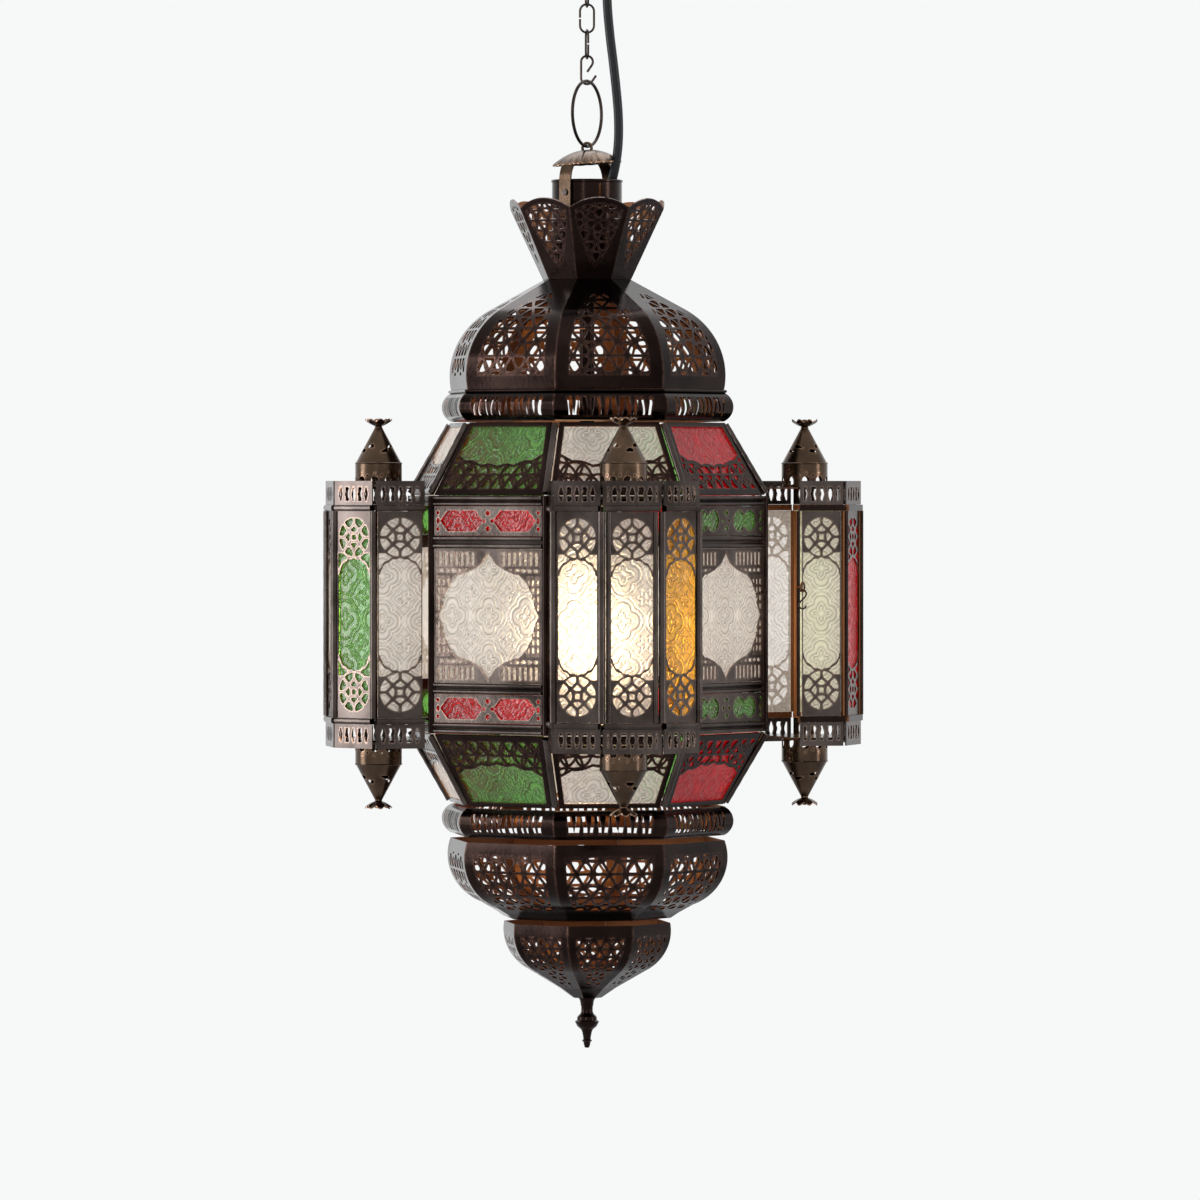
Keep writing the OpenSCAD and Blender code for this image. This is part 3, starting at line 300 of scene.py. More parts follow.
class Kit:
    """Adds nodes to a material, or to a world, and links them."""

    def __init__(self, owner):
        self.owner = owner
        owner.use_nodes = True
        self.tree = owner.node_tree
        self.tree.nodes.clear()
        self.place = None

    def new(self, kind, **values):
        """A node. Each value goes to the node's setting of that name, or else to its socket."""
        node = self.tree.nodes.new("ShaderNode" + kind)
        for key, value in values.items():
            if hasattr(node, key):
                setattr(node, key, value)
            else:
                self.put(node, key.replace("_", " "), value)
        return node

    def put(self, node, socket, value):
        """Gives a socket a value, or links it to another node's output, written as (node, output)."""
        if isinstance(value, tuple) and isinstance(value[0], bpy.types.Node):
            self.tree.links.new(value[0].outputs[value[1]], node.inputs[socket])
        else:
            node.inputs[socket].default_value = value

    def texture(self, kind, **values):
        """A texture in the object's own coordinates."""
        return self.new("Tex" + kind, Vector=(self.place, "Object"), **values)

    def math(self, operation, a, b, kind="Math", out=0):
        """An operation on two values or vectors, each given as it is or as a (node, output) pair."""
        node = self.new(kind, operation=operation)
        self.put(node, 0, a)
        self.put(node, 1, b)
        return node, out

    def ramp(self, value, *stops):
        """Colours at positions of a value; a plain number stands for a grey."""
        node = self.new("ValToRGB", Fac=value)
        elements = node.color_ramp.elements
        while len(elements) < len(stops):
            elements.new(0.5)
        for element, (position, colour) in zip(elements, stops):
            element.position = position
            element.color = (*(colour if np.ndim(colour) else (colour,) * 3), 1)
        return node, "Color"

    def mix(self, share, a, b, blend_type="MIX"):
        """Two colours mixed; a colour is a triple or a (node, output) pair."""
        node = self.new("Mix", data_type="RGBA", blend_type=blend_type)
        self.put(node, 0, share)
        for socket, colour in zip(MIX_COLOURS, (a, b)):
            self.put(node, socket, (*colour, 1) if len(colour) == 3 else colour)
        return node, MIX_RESULT

    def bump(self, height, **values):
        """The shader's normal, tilted by the slope of a height."""
        return self.new("Bump", Height=height, **values), "Normal"

    def output(self, shader, kind="Material", socket="BSDF"):
        """Ends the tree in its output."""
        self.new("Output" + kind, Surface=(shader, socket))
        return self.owner


def kit_of(name):
    kit = Kit(bpy.data.materials.new(name))
    kit.place = kit.new("TexCoord")
    return kit


def scaled(colour, factor):
    """A colour made darker or lighter."""
    return tuple(c * factor for c in colour)


def metal_finish(name, dark, light, edge, rough, edge_share=0.8, inside=None):
    """Patinated metal: two browns mixed by noise, brighter where the piece is rubbed at its edges. Faces that
    look towards the lantern's axis, where the bulb hangs, may have a colour of their own: on the bronze this is
    the sheet's bare copper back and also painted warm light from the bulb."""
    kit = kit_of(name)
    cloud = kit.texture("Noise", Scale=26.0, Detail=5.0, Roughness=0.6), "Fac"
    fine = kit.texture("Noise", Scale=420.0, Detail=3.0, Roughness=0.7), "Fac"
    worn = kit.new("Attribute", attribute_name="worn"), "Fac"
    patchy = kit.math("MULTIPLY", worn, kit.ramp(fine, (0.35, 0.15), (0.62, 1)))
    browns = kit.ramp(cloud, (0.32, dark), (0.68, light))
    colour = kit.mix(kit.math("MULTIPLY", patchy, edge_share), browns, edge)
    gloss = kit.ramp(cloud, (0.3, rough * 0.75), (0.7, rough * 1.35))
    # inner faces look at the bulb: their colour is the bare back of the sheet and also painted warm lamplight
    if inside:
        radial = kit.math("MULTIPLY", (kit.place, "Object"), (1, 1, 0), "VectorMath", "Vector")
        facing = kit.math("DOT_PRODUCT", (kit.place, "Normal"), radial, "VectorMath", "Value")
        inner = kit.math("LESS_THAN", facing, -0.004)
        colour = kit.mix(inner, colour, inside)
        dull = kit.new("Mix")
        for socket, value in zip(MIX_VALUES, (inner, gloss, 0.5)):
            kit.put(dull, socket, value)
        gloss = dull, 0
    return kit.output(kit.new("BsdfPrincipled", Metallic=1.0, Base_Color=colour, Roughness=gloss,
                              Normal=kit.bump(fine, Strength=0.12, Distance=0.0006)))


def glass_finish(name, colour, rough, clearness=0.85, glow=0.0, mirror=0.25):
    """Pressed glass, a little milky. Its colour has painted light and shade of its relief: paler on the
    ridges and darker on their steep sides. The glow is painted light: an emission on the pane that stands in
    for the lamp's light that the milkiness spreads in it."""
    kit = kit_of(name)
    stipple = kit.texture("Voronoi", Scale=420.0), "Distance"
    wave = kit.texture("Noise", Scale=45.0, Detail=2.0), "Fac"
    relief_and_painted_shade = kit.new("Attribute", attribute_name="worn"), "Fac"
    # painted shade and light: the glass's colour is darker on the relief's steep sides and paler on its ridges
    painted_relief_shade = kit.ramp(relief_and_painted_shade, (0.0, scaled(colour, 0.16)), (0.3, scaled(colour, 0.55)),
                           (0.55, scaled(colour, 0.85)), (0.9, colour))
    tint = kit.mix(1.0, painted_relief_shade, kit.ramp(wave, (0.3, 0.93), (0.7, 1)), "MULTIPLY")
    fine = kit.bump(stipple, Strength=0.18, Distance=0.0006)
    shader = kit.new("BsdfPrincipled", Transmission_Weight=clearness, IOR=1.45, Specular_IOR_Level=mirror,
                     Roughness=rough, Base_Color=tint,
                     Normal=kit.bump(relief_and_painted_shade, Strength=0.6, Distance=0.0008, Normal=fine))
    # painted glow: a warm emission on the pane that stands in for the lamp's light spread in the glass
    if glow:
        kit.put(shader, "Emission Color", kit.mix(1.0, tint, (1.0, 0.86, 0.74), "MULTIPLY"))
        kit.put(shader, "Emission Strength", glow)
    return kit.output(shader)


def plain_finish(name, colour, rough, noise=90.0):
    """Moulded plastic or rubber with a faint grain."""
    kit = kit_of(name)
    grain = kit.texture("Noise", Scale=noise * 8, Detail=3.0), "Fac"
    cloud = kit.texture("Noise", Scale=noise, Detail=4.0), "Fac"
    tint = kit.ramp(cloud, (0.3, scaled(colour, 0.75)), (0.7, scaled(colour, 1.2)))
    return kit.output(kit.new("BsdfPrincipled", Roughness=rough, Specular_IOR_Level=0.2, Base_Color=tint,
                              Normal=kit.bump(grain, Strength=0.15, Distance=0.0004)))


def glow_finish(name, colour, strength):
    """The lit bulb: a warm glow, uneven by a tenth."""
    kit = kit_of(name)
    cloud = kit.texture("Noise", Scale=18.0, Detail=1.0), "Fac"
    tint = kit.ramp(cloud, (0.3, colour), (0.7, tuple(min(1.0, c * 1.1) for c in colour)))
    return kit.output(kit.new("BsdfPrincipled", Roughness=0.3, Emission_Strength=strength, Base_Color=tint,
                              Emission_Color=tint))


FINISH = {}


def make_finishes(colours):
    """One material for each finish of the lantern. A metal has a dark, a light and an edge-wear colour, and a
    roughness; a glass has a colour, a roughness, a clearness, a painted glow and a mirror share."""
    # copper for faces towards the axis: the sheet's bare back, and painted warm light from the bulb
    bronze, copper_back_and_lamplight = tuple(colours.bronze), (0.25, 0.105, 0.045)
    metals = {
        "bronze": ("patinated_bronze", scaled(bronze, 0.3), scaled(bronze, 0.85), (0.12, 0.062, 0.048), 0.17,
                   0.7, copper_back_and_lamplight),
        "bronze_edge": ("rubbed_bronze", (0.028, 0.021, 0.018), (0.092, 0.073, 0.065), (0.3, 0.21, 0.17), 0.18),
        "wire": ("bronzed_wire", (0.02, 0.015, 0.013), (0.06, 0.045, 0.038), (0.25, 0.18, 0.14), 0.26),
        "tarnished": ("tarnished_brass", (0.034, 0.022, 0.015), (0.115, 0.073, 0.048), (0.3, 0.18, 0.12), 0.24),
        "worn_brass": ("worn_brass", (0.16, 0.1, 0.05), (0.42, 0.28, 0.13), (0.7, 0.5, 0.3), 0.3),
        "zinc": ("zinc_plate", (0.42, 0.43, 0.45), (0.62, 0.63, 0.66), (0.8, 0.8, 0.8), 0.36)}
    # after its colour, a glass has a roughness, a clearness, a painted glow (emission for the lamp's light
    # spread in the pane) and a mirror share
    glasses = {
        "clear": (colours.clear, 0.3, 0.86, 0.18), "green": (colours.green, 0.2, 0.94),
        # painted light: the door's green panes are a paler, glowing copy of the green glass, for the bulb's
        # light through them
        "painted_lit_green": ((0.84, 0.95, 0.62), 0.3, 0.86, 0.26), "red": (colours.red, 0.2, 0.97, 0.1),
        "deep_red": ((0.86, 0.001, 0.003), 0.2, 0.99, 0.16, 0.03), "amber": (colours.amber, 0.2, 0.95, 0.1)}
    for key, values in metals.items():
        FINISH[key] = metal_finish(*values)
    for key, (colour, *values) in glasses.items():
        FINISH[key] = glass_finish(f"pressed_{key}_glass", tuple(colour), *values)
    FINISH["cable"] = plain_finish("cable_sheath", (0.012, 0.013, 0.015), 0.34, 60.0)
    FINISH["plastic"] = plain_finish("moulded_plastic", (0.02, 0.018, 0.016), 0.42)
    FINISH["bulb"] = glow_finish("lit_bulb", (1.0, 0.66, 0.36), 8.0)


FINISH_NODES = {              # frame nodes by finish
    "zinc": "ceiling_bracket hook_nut", "bronze": "ceiling_rose holder_nipple", "cable": "supply_cable",
    "plastic": "cord_grip lamp_holder", "worn_brass": "bulb_cap", "bulb": "bulb_glass",
    "bronze_edge": "strap_rivets", "clear": "panel_glass",
    "tarnished": "bay_flowers door_flowers split_pin strap_handle",
    "wire": "ceiling_hook chain_link_1 chain_link_2 chain_link_3 s_hook hanging_ring latch_hook hinge_pins",
}


def finish_nodes():
    """Gives every frame node its finish: by the table above, by its glass, or bronze."""
    for name, obj in NODES.items():
        known = [key for key, names in FINISH_NODES.items() if name in names.split()]
        glass = [word for word in ("green", "red", "amber", "clear") if name.endswith("glass_" + word)]
        obj.data.materials.clear()
        obj.data.materials.append(FINISH[(known + glass + ["bronze"])[0]])


# ---------- camera, cable and stage ----------

CAMERA_AZIMUTH, CAMERA_FAR, CAMERA_Z = radians(-9.7), 5.0, -0.43
VIEW_WIDTH = 0.804            # what the camera takes in at the lantern's axis, in metres
VIEW_MIDDLE_Z = -0.509
AXIS_ASIDE = 13 / 1200        # the lantern's axis lies this share of the view's width left of its middle
SENSOR = 36

CABLE_ROUTE = ((0, 0, -293.6), (0, 0, -285.6), (0.2, -0.2, -276), (2.4, -1.2, -264), (7, -3, -251),
               (12, -5.4, -239), (15.8, -9, -227), (18.2, -11.6, -213), (19.3, -12.3, -199),
               (19.1, -12.3, -184), (17.8, -12.2, -168), (15.8, -12.2, -150), (13.4, -12.6, -131),
               (11.6, -13.3, -112), (11.2, -14, -95), (12.4, -14.7, -79), (13.8, -15, -69), (14.5, -15, -60),
               (14.5, -15, -48), (14.5, -15, -29))
CABLE_POINTS, RUN_POINTS, CABLE_SIDES = 900, 40, 20
TOP_RUN = 37.7                # length of each of the five upper runs


def smooth_route(points, count):
    """A Catmull-Rom curve through points, resampled to equal steps of length."""
    p = np.asarray(points, float)
    ext = np.vstack([2 * p[0] - p[1], p, 2 * p[-1] - p[-2]])
    t = np.linspace(0, 1, 24, endpoint=False)[:, None]
    runs = []
    for i in range(len(p) - 1):
        a, b, c, d = ext[i:i + 4]
        runs.append(0.5 * (2 * b + (c - a) * t + (2 * a - 5 * b + 4 * c - d) * t ** 2
                           + (3 * b - a - 3 * c + d) * t ** 3))
    fine = np.vstack(runs + [p[-1:]])
    s = measured(fine)[1]
    at = np.linspace(0, s[-1], count)
    return along_line(at, s, fine), at


def along_line(at, s, line):
    """The points of a line at some of its running lengths."""
    return points_of(*(np.interp(at, s, column) for column in line.T))


def measured(line):
    """A line's points and its running length."""
    line = np.asarray(line, float)
    return line, np.concatenate([[0], np.cumsum(np.linalg.norm(np.diff(line, axis=0), axis=1))])


def make_cable(sizes):
    """The supply cable in six runs, one for each joint that it passes. The five upper runs are equal and aren't
    centred on their joints, so when the chain swings from its hook the top run leaves the grip's bore."""
    line, s = smooth_route(CABLE_ROUTE, CABLE_POINTS)
    cuts = [0.0, *(s[-1] - TOP_RUN * k for k in range(5, -1, -1))]
    thick = in_mm(sizes.cable)
    for k in range(6):
        path = along_line(np.linspace(cuts[k], cuts[k + 1], RUN_POINTS), s, line)
        run = Shape()
        run.wire(path, thick / 2, CABLE_SIDES)
        piece = run.build(f"supply_cable_run_{k + 1}", "supply_cable", "cable", None, "cable_sheath")
        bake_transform(piece)


def make_camera():
    """The camera, level with the lantern's upper half and shifted down to take in the whole of it."""
    data = bpy.data.cameras.new("camera")
    camera = placed("camera", data)
    camera.location = (sin(CAMERA_AZIMUTH) * CAMERA_FAR, -cos(CAMERA_AZIMUTH) * CAMERA_FAR, CAMERA_Z)
    camera.rotation_euler = (pi / 2, 0, CAMERA_AZIMUTH)
    data.sensor_width = SENSOR
    data.lens = SENSOR * CAMERA_FAR / VIEW_WIDTH
    data.shift_x = AXIS_ASIDE
    data.shift_y = (VIEW_MIDDLE_Z - CAMERA_Z) / VIEW_WIDTH
    bpy.context.scene.camera = camera


LAMPS = (                     # name, place, size in metres, power, colour
    ("window", (-2.4, 0.1, -0.25), (0.9, 1.7), 36, (0.94, 0.97, 1.0)),
    ("key", (-0.9, -2.3, 0.5), (0.12, 1.3), 11, (1, 1, 1)),
    ("fill", (2.1, -1.1, 0.0), (0.2, 1.6), 14, (1, 1, 1)),
    ("top", (0.2, 0.9, 1.2), (1.3, 1.3), 12, (1, 1, 1)))
LAMPS_LOOK_AT = Vector((0, 0, -0.5))
FLOOR_R, FLOOR_Z, FLOOR_SIDES = 2.6, -1.35, 96


def make_world():
    """A surround that lights the lantern plainly; camera, glossy and transmission rays see it pale."""
    world = bpy.data.worlds.new("surround")
    bpy.context.scene.world = world
    kit = Kit(world)
    rays = kit.new("LightPath")
    seen = rays, "Is Camera Ray"
    for other in ("Is Glossy Ray", "Is Transmission Ray"):
        seen = kit.math("MAXIMUM", seen, (rays, other))
    mix = kit.new("MixShader")
    ambient = kit.new("Background", Strength=0.4, Color=(0.95, 0.97, 1.0, 1))
    pale = kit.new("Background", Strength=1.0, Color=(0.93, 0.94, 0.94, 1))
    for socket, value in enumerate((seen, (ambient, 0), (pale, 0))):
        kit.put(mix, socket, value)
    kit.output(mix, "World", "Shader")


def make_stage():
    """A pale floor, a pale surround and four soft lamps."""
    make_world()
    t = circle(FLOOR_SIDES)
    mesh = bpy.data.meshes.new("floor")
    rim = points_of(FLOOR_R * np.cos(t), FLOOR_R * np.sin(t), FLOOR_Z)
    mesh.from_pydata(rim.tolist(), [], [list(range(FLOOR_SIDES))])
    kit = kit_of("pale_floor")
    grain = kit.texture("Noise", Scale=3.0, Detail=2.0), "Fac"
    tint = kit.ramp(grain, (0.3, (0.8, 0.805, 0.81)), (0.7, (0.84, 0.845, 0.85)))
    mesh.materials.append(kit.output(kit.new("BsdfPrincipled", Roughness=0.8, Base_Color=tint)))
    placed("floor", mesh)
    for name, place, size, power, colour in LAMPS:
        data = bpy.data.lights.new(name, "AREA")
        data.shape, (data.size, data.size_y) = "RECTANGLE", size
        data.energy, data.color = power, colour
        lamp = placed(name, data)
        lamp.location = place
        lamp.rotation_euler = (LAMPS_LOOK_AT - Vector(place)).to_track_quat("-Z", "Y").to_euler()


# ---------- sheets and panes on the lantern's sides ----------

PANE_CREASE = 60              # degrees past which an edge of a pane stays sharp


def side(k):
    """Maps (out from the axis, along the side, z) to space for side k of the octagon; side 0 faces +X."""
    c, s = cos(k * EIGHTH), sin(k * EIGHTH)
    return lambda out, along, z: points_of(out * c - along * s, out * s + along * c, z)


def smooth_min(a, b, k):
    """The lesser of two fields, rounded where they cross."""
    h = np.clip(0.5 + 0.5 * (b - a) / k, 0, 1)
    return b * (1 - h) + a * h - k * h * (1 - h)


def fret_field(x, y, spacing, centre, line):
    """Touching rings on a triangular lattice, each with three bars across: above zero in a hole. The field is
    the distance to the nearest bar or ring, with the plane folded to a sixth of the turn round the nearest
    ring's centre."""
    py = y - centre
    h = spacing * sqrt(3) / 2
    row = np.round(py / h)
    best, bx, by = np.full(x.shape, 1e9), np.zeros(x.shape), np.zeros(x.shape)
    for q in (row - 1, row, row + 1):
        shift = (q % 2) * spacing / 2
        cx = np.round((x - shift) / spacing) * spacing + shift
        d = np.hypot(x - cx, py - q * h)
        near = d < best
        best, bx, by = np.where(near, d, best), np.where(near, x - cx, bx), np.where(near, py - q * h, by)
    theta = np.arctan2(by, bx) % (pi / 3)
    spoke = best * np.sin(np.minimum(theta, pi / 3 - theta)) - line / 2
    ring, hub = 0.475 * spacing, 1.3
    drop = smooth_min(smooth_min(spoke, ring - line / 2 - best, 0.09 * spacing), best - hub, 0.6)
    return np.maximum(drop, best - ring - line / 2)


def folded_petal(shape, k, line, metal, cell, thick=1.0, gap=0.08):
    """A pierced sheet bent along a profile line of (radius, z), as wide as the octagon's side at each radius.
    metal(x, y, half) is as for a panel, with the sheet's half width at y."""
    line, s = measured(line)
    d = np.gradient(line, s, axis=0)
    d /= np.linalg.norm(d, axis=1)[:, None]
    normal = np.stack([d[:, 1], -d[:, 0]], -1)
    if np.interp(s[-1] / 2, s, normal[:, 0]) < 0:
        normal = -normal
    place = side(k)

    def half(y):
        return np.interp(y, s, line[:, 0]) * T8 - gap

    def face(depth):
        def put(x, y):
            (r, z), (nr, nz) = along_line(y, s, line).T, along_line(y, s, normal).T
            return place(r + depth * nr, x * (r + depth * nr) / r, z + depth * nz)
        return put

    def field(x, y):
        return np.minimum(metal(x, y, half(y)), half(y) - np.abs(x) + 0.06)

    pattern = panel(half, s[-1], cells_of(2 * half(s).max(), s[-1], cell), field)
    shape.plate(pattern, face(0.0), face(-thick))


def petals(name, node, line, metal, cell=1.15, foot=()):
    """Eight folded sheets round the lantern, with the closed (radius, z) profiles that run along their feet."""
    for k in range(8):
        petal = Shape()
        folded_petal(petal, k, line, lambda x, y, half: metal(x, y, half, k), cell)
        for profile in foot:
            r, z = np.asarray(profile, float).T
            reach = r * T8 - 0.05
            petal.tube(np.stack([side(k)(r, -reach, z), side(k)(r, reach, z)]))
        petal.build(f"{name}_{k + 1}", node)


def pressed_relief(x, y, cell=30.0):
    """Height of pressed glass, 0 to 1: double quatrefoil outlines, buds inside, flowers between, dots."""
    def line(distance, wide):
        return np.exp(-(distance / wide) ** 2)

    def folded(v):
        return (v + cell / 2) % cell - cell / 2

    u, v = folded(x), folded(y)
    lobes = ((5.4, 0, 6.6), (-5.4, 0, 6.6), (0, 6.8, 6.2), (0, -6.8, 6.2))
    foil = np.min([np.hypot(u - cx, v - cy) - r for cx, cy, r in lobes], axis=0)
    lines = np.maximum(line(foil, 0.8), 0.85 * line(foil - 2.6, 0.7))
    rho, theta = np.hypot(u, v), np.arctan2(v, u)
    bud = 0.9 * np.maximum(line(rho - 5.0 - 1.6 * np.cos(4 * theta), 0.8), line(rho, 1.7))
    p, q = x % cell - cell / 2, y % cell - cell / 2
    rho, theta = np.hypot(p, q), np.arctan2(q, p)
    outside = np.clip(foil - 3.4, 0, 1)
    flower_lines = np.maximum(line(rho - 4.2 - 1.4 * np.cos(6 * theta), 0.8), line(rho, 1.3)) * outside
    dots = 0.22 * (0.5 + 0.5 * np.sin(x * 1.9) * np.sin(y * 1.9)) * outside
    return np.clip(np.max([lines, np.where(foil < -0.8, bud, 0), flower_lines, dots], axis=0), 0, 1)


def pane(shape, half, height, place, cell, start=0.0, seed=0.0, thick=2.0, depth=0.5):
    """A pressed pane: place(x, y, out) puts it. Its outer face has relief cut into its thickness, its back is
    flat. The attribute that it stores is the relief's height less a share of its slope: on the glass it is
    painted light and shade, paler on the ridges and darker on the steep sides."""
    rows, cols = int(height / cell) + 1, int(2 * half(np.array([start, start + height])).max() / cell) + 1
    y = np.linspace(start, start + height, rows)
    x = np.linspace(-1, 1, cols)[:, None] * half(y)[None, :]
    yy = np.broadcast_to(y, x.shape)
    relief = pressed_relief(x + seed, yy + seed * 0.37)
    # painted shade: the steep sides of the relief come out darker in the glass's colour
    slope = np.hypot(*np.gradient(relief)) / cell
    relief_and_painted_shade = np.clip(0.45 + 0.55 * relief - 0.9 * slope, 0, 1)
    height_field = np.full(x.shape, -0.35)
    height_field[1:-1, 1:-1] = (-depth + depth * relief)[1:-1, 1:-1]
    front = place(x.ravel(), yy.ravel(), height_field.ravel())
    ids = np.arange(cols * rows).reshape(cols, rows)
    quads = np.stack([ids[:-1, :-1], ids[1:, :-1], ids[1:, 1:], ids[:-1, 1:]], -1).reshape(-1, 4)
    loop = np.concatenate([ids[:-1, 0], ids[-1, :-1], ids[:0:-1, -1], ids[0, :0:-1]])
    back = place(x.ravel()[loop], yy.ravel()[loop], np.full(len(loop), -thick))
    low = cols * rows + np.arange(len(loop))
    walls = np.stack([loop, low, np.roll(low, -1), np.roll(loop, -1)], -1)
    shape.add(np.concatenate([front, back]), [quads, walls, low[None, ::-1]],
              np.concatenate([relief_and_painted_shade.ravel(), np.full(len(loop), 0.5)]))


# ---------- crown, dome, bowl and tail ----------

def petal_line(level, radius, drop, bend, sweep, *runs):
    """A petal's profile: an arc of radius bend about a centre, then straight runs. Centre and runs are each
    a radius from the axis and a drop below a level; the sweep is the arc's two angles and its steps."""
    return np.vstack([arc(radius, level - drop, bend, *sweep), *([[r, level - d]] for r, d in runs)])


def make_dome(sizes):
    """Eight petals that bend in to a straight run to the neck, pierced in an area that narrows upwards by a
    power of the height, with their foot strips."""
    line = petal_line(DOME_Z, 36.2, 64.4, 51.4, (-10.5, 59.7, 40), (27.8, 0))
    length, foot_margin, head_margin, side_margin, half_area = measured(line)[1][-1], 9.5, 15.5, 5.5, 27.0

    def metal(x, y, half, k):
        t = np.clip((y - foot_margin) / (length - foot_margin - head_margin), 0, 1)
        area = np.minimum(half_area * (1 - t ** 2.1), half - side_margin) - np.abs(x)
        fret = fret_field(x, y, in_mm(sizes.dome_ring), 22.0, in_mm(sizes.bar))
        return -np.minimum(fret, np.minimum(area, y - foot_margin))

    foot = DOME_Z - 74
    strip = [(80.2, foot - 1.35), (88.1, foot - 1.35), (88.1, foot - 0.25), (80.2, foot - 0.25)]
    petals("dome_petal", "dome_petals", line, metal, foot=(strip, arc(87.5, foot - 0.9, 1.0, 0, 330, 11)))


def make_bowls(sizes):
    """The lower bowl and the tail, eight petals each, pierced between margins at top, sides and foot."""
    bowl = petal_line(BOWL_Z, 54.6, 14, 34.3, (19, -69, 40), (58.0, 51.4), (53.0, 55))
    tail = petal_line(TAIL_Z, 22.5, 6.6, 30.7, (10, -62, 30), (18.4, 45.2), (9.2, 52))
    foot_margin = 13
    for name, node, line, ring, top, margin in (("bowl", "lower_bowl", bowl, in_mm(sizes.bowl_ring), 8.5, 7.5),
                                                ("tail", "tail_bowl", tail, in_mm(sizes.tail_ring), 8.0, 5.6)):
        length = measured(line)[1][-1]

        def metal(x, y, half, k):
            area = np.min([half - margin - np.abs(x), y - top, length - foot_margin - y], axis=0)
            return -np.minimum(fret_field(x, y, ring, top + ring * 0.5, in_mm(sizes.bar)), area)
        petals(f"{name}_petal", node, line, metal)


def make_crown(sizes):
    """Eight flaring panels, each with a rounded upper edge."""
    foot, head = np.array([28.0, DOME_Z + 0.1]), np.array([50.2, CROWN_Z - 3])
    long, rise, round_r = float(np.linalg.norm(head - foot)), 3.1, 32.0
    line = foot + np.linspace(0, long + rise, 12)[:, None] * ((head - foot) / long)

    def metal(x, y, half, k):
        top = round_r - np.hypot(x, y - (long + rise - round_r))
        t = np.clip((y - 8.0) / (long - 14), 0, 1)
        area = np.minimum((half - 3.6) * np.sin(pi / 2 * t ** 0.75) - np.abs(x), top - 4.2)
        fret = fret_field(x, y, in_mm(sizes.crown_ring), long - 13.0, in_mm(sizes.crown_bar))
        return np.minimum(-np.minimum(fret, np.minimum(area, y - 8)), top)

    petals("crown_panel", "crown_panels", line, metal, 1.0)


def make_bead_rings():
    """Two half-round rings with upright wavy slots."""
    h, bulge, pitch = 19.4, 6.0, 4.9
    r = (h * h / 4 + bulge * bulge) / (2 * bulge)
    reach = np.degrees(np.arcsin(h / 2 / r))
    for name, top in (("upper_bead_ring", BEAD_Z), ("lower_bead_ring", LOW_BEAD_Z)):
        line = arc(86.6 + bulge - r, top - h / 2, r, -reach, reach, 24)
        length = measured(line)[1][-1]

        def metal(x, y, half, k):
            cell = np.clip(np.round(x / pitch - 0.5) + 0.5, -5.5, 5.5)
            bend = 0.5 * np.sin((y / length - 0.5) * 2 * pi * 1.05) * np.where(cell % 2 > 0.9, 1, -1)
            wide = 1.25 + 0.35 * np.sin(cell * 5.3 + k)
            slot = np.minimum(wide - np.abs(x - cell * pitch - bend), 6.9 - np.abs(y - length / 2))
            return -smooth_min(slot, 7.4 - np.abs(y - length / 2), 0.8)
        petals(name, name, line, metal, 1.05)


# ---------- slopes and wall ----------

SLOPE_FOOT, SLOPE_HEAD = np.array([WALL_R - 1.2, WALL_Z + 0.6]), np.array([87.0, SLOPE_Z - 0.6])
SLOPE_LONG = float(np.linalg.norm(SLOPE_HEAD - SLOPE_FOOT))
SLOPE_TINT = ("clear", "green", "clear", "red", "clear", "green", "clear", "red")


def slope_place(k, lower):
    """Maps (along the side, up the slope, out of it) to space."""
    d = (SLOPE_HEAD - SLOPE_FOOT) / SLOPE_LONG
    n = np.array([d[1], -d[0]])

    def place(x, y, out):
        r, z = (SLOPE_FOOT[i] + y * d[i] + out * n[i] for i in (0, 1))
        return side(k)(r, x, SILL_Z + WALL_Z - z if lower else z)
    return place


def slope_half(inset):
    """Half a slope's width, less an inset, at each height."""
    return lambda y: (SLOPE_FOOT[0] + (SLOPE_HEAD[0] - SLOPE_FOOT[0]) * y / SLOPE_LONG) * T8 - inset


def slope_metal(x, y):
    """Frame with interlaced rings over the lower half of the window, climbing at the sides."""
    window = np.minimum(np.minimum(slope_half(0.0)(y) - 6.4 - np.abs(x), y - 4.6), SLOPE_LONG - 3.2 - y)
    ring = 10.2
    bars = np.full(x.shape, -1e9)
    for row, bare in enumerate((0, 12, 26)):
        for i in range(-5, 6):
            cx, cy = i * ring + (row % 2) * ring / 2, 5.0 + row * ring * sqrt(3) / 2
            if bare <= abs(cx) <= 46:
                bars = np.maximum(bars, 0.85 - np.abs(np.hypot(x - cx, y - cy) - ring))
    edge = 20.5 + 10.0 * (np.abs(x) / 40) ** 2.2 + 1.6 * np.abs(np.sin(x * pi / 13.6))
    bars = np.minimum(bars, edge - y)
    rim = 0.9 - np.abs(y - edge)
    return np.maximum(np.maximum(-window, bars), np.minimum(rim, window + 0.5))


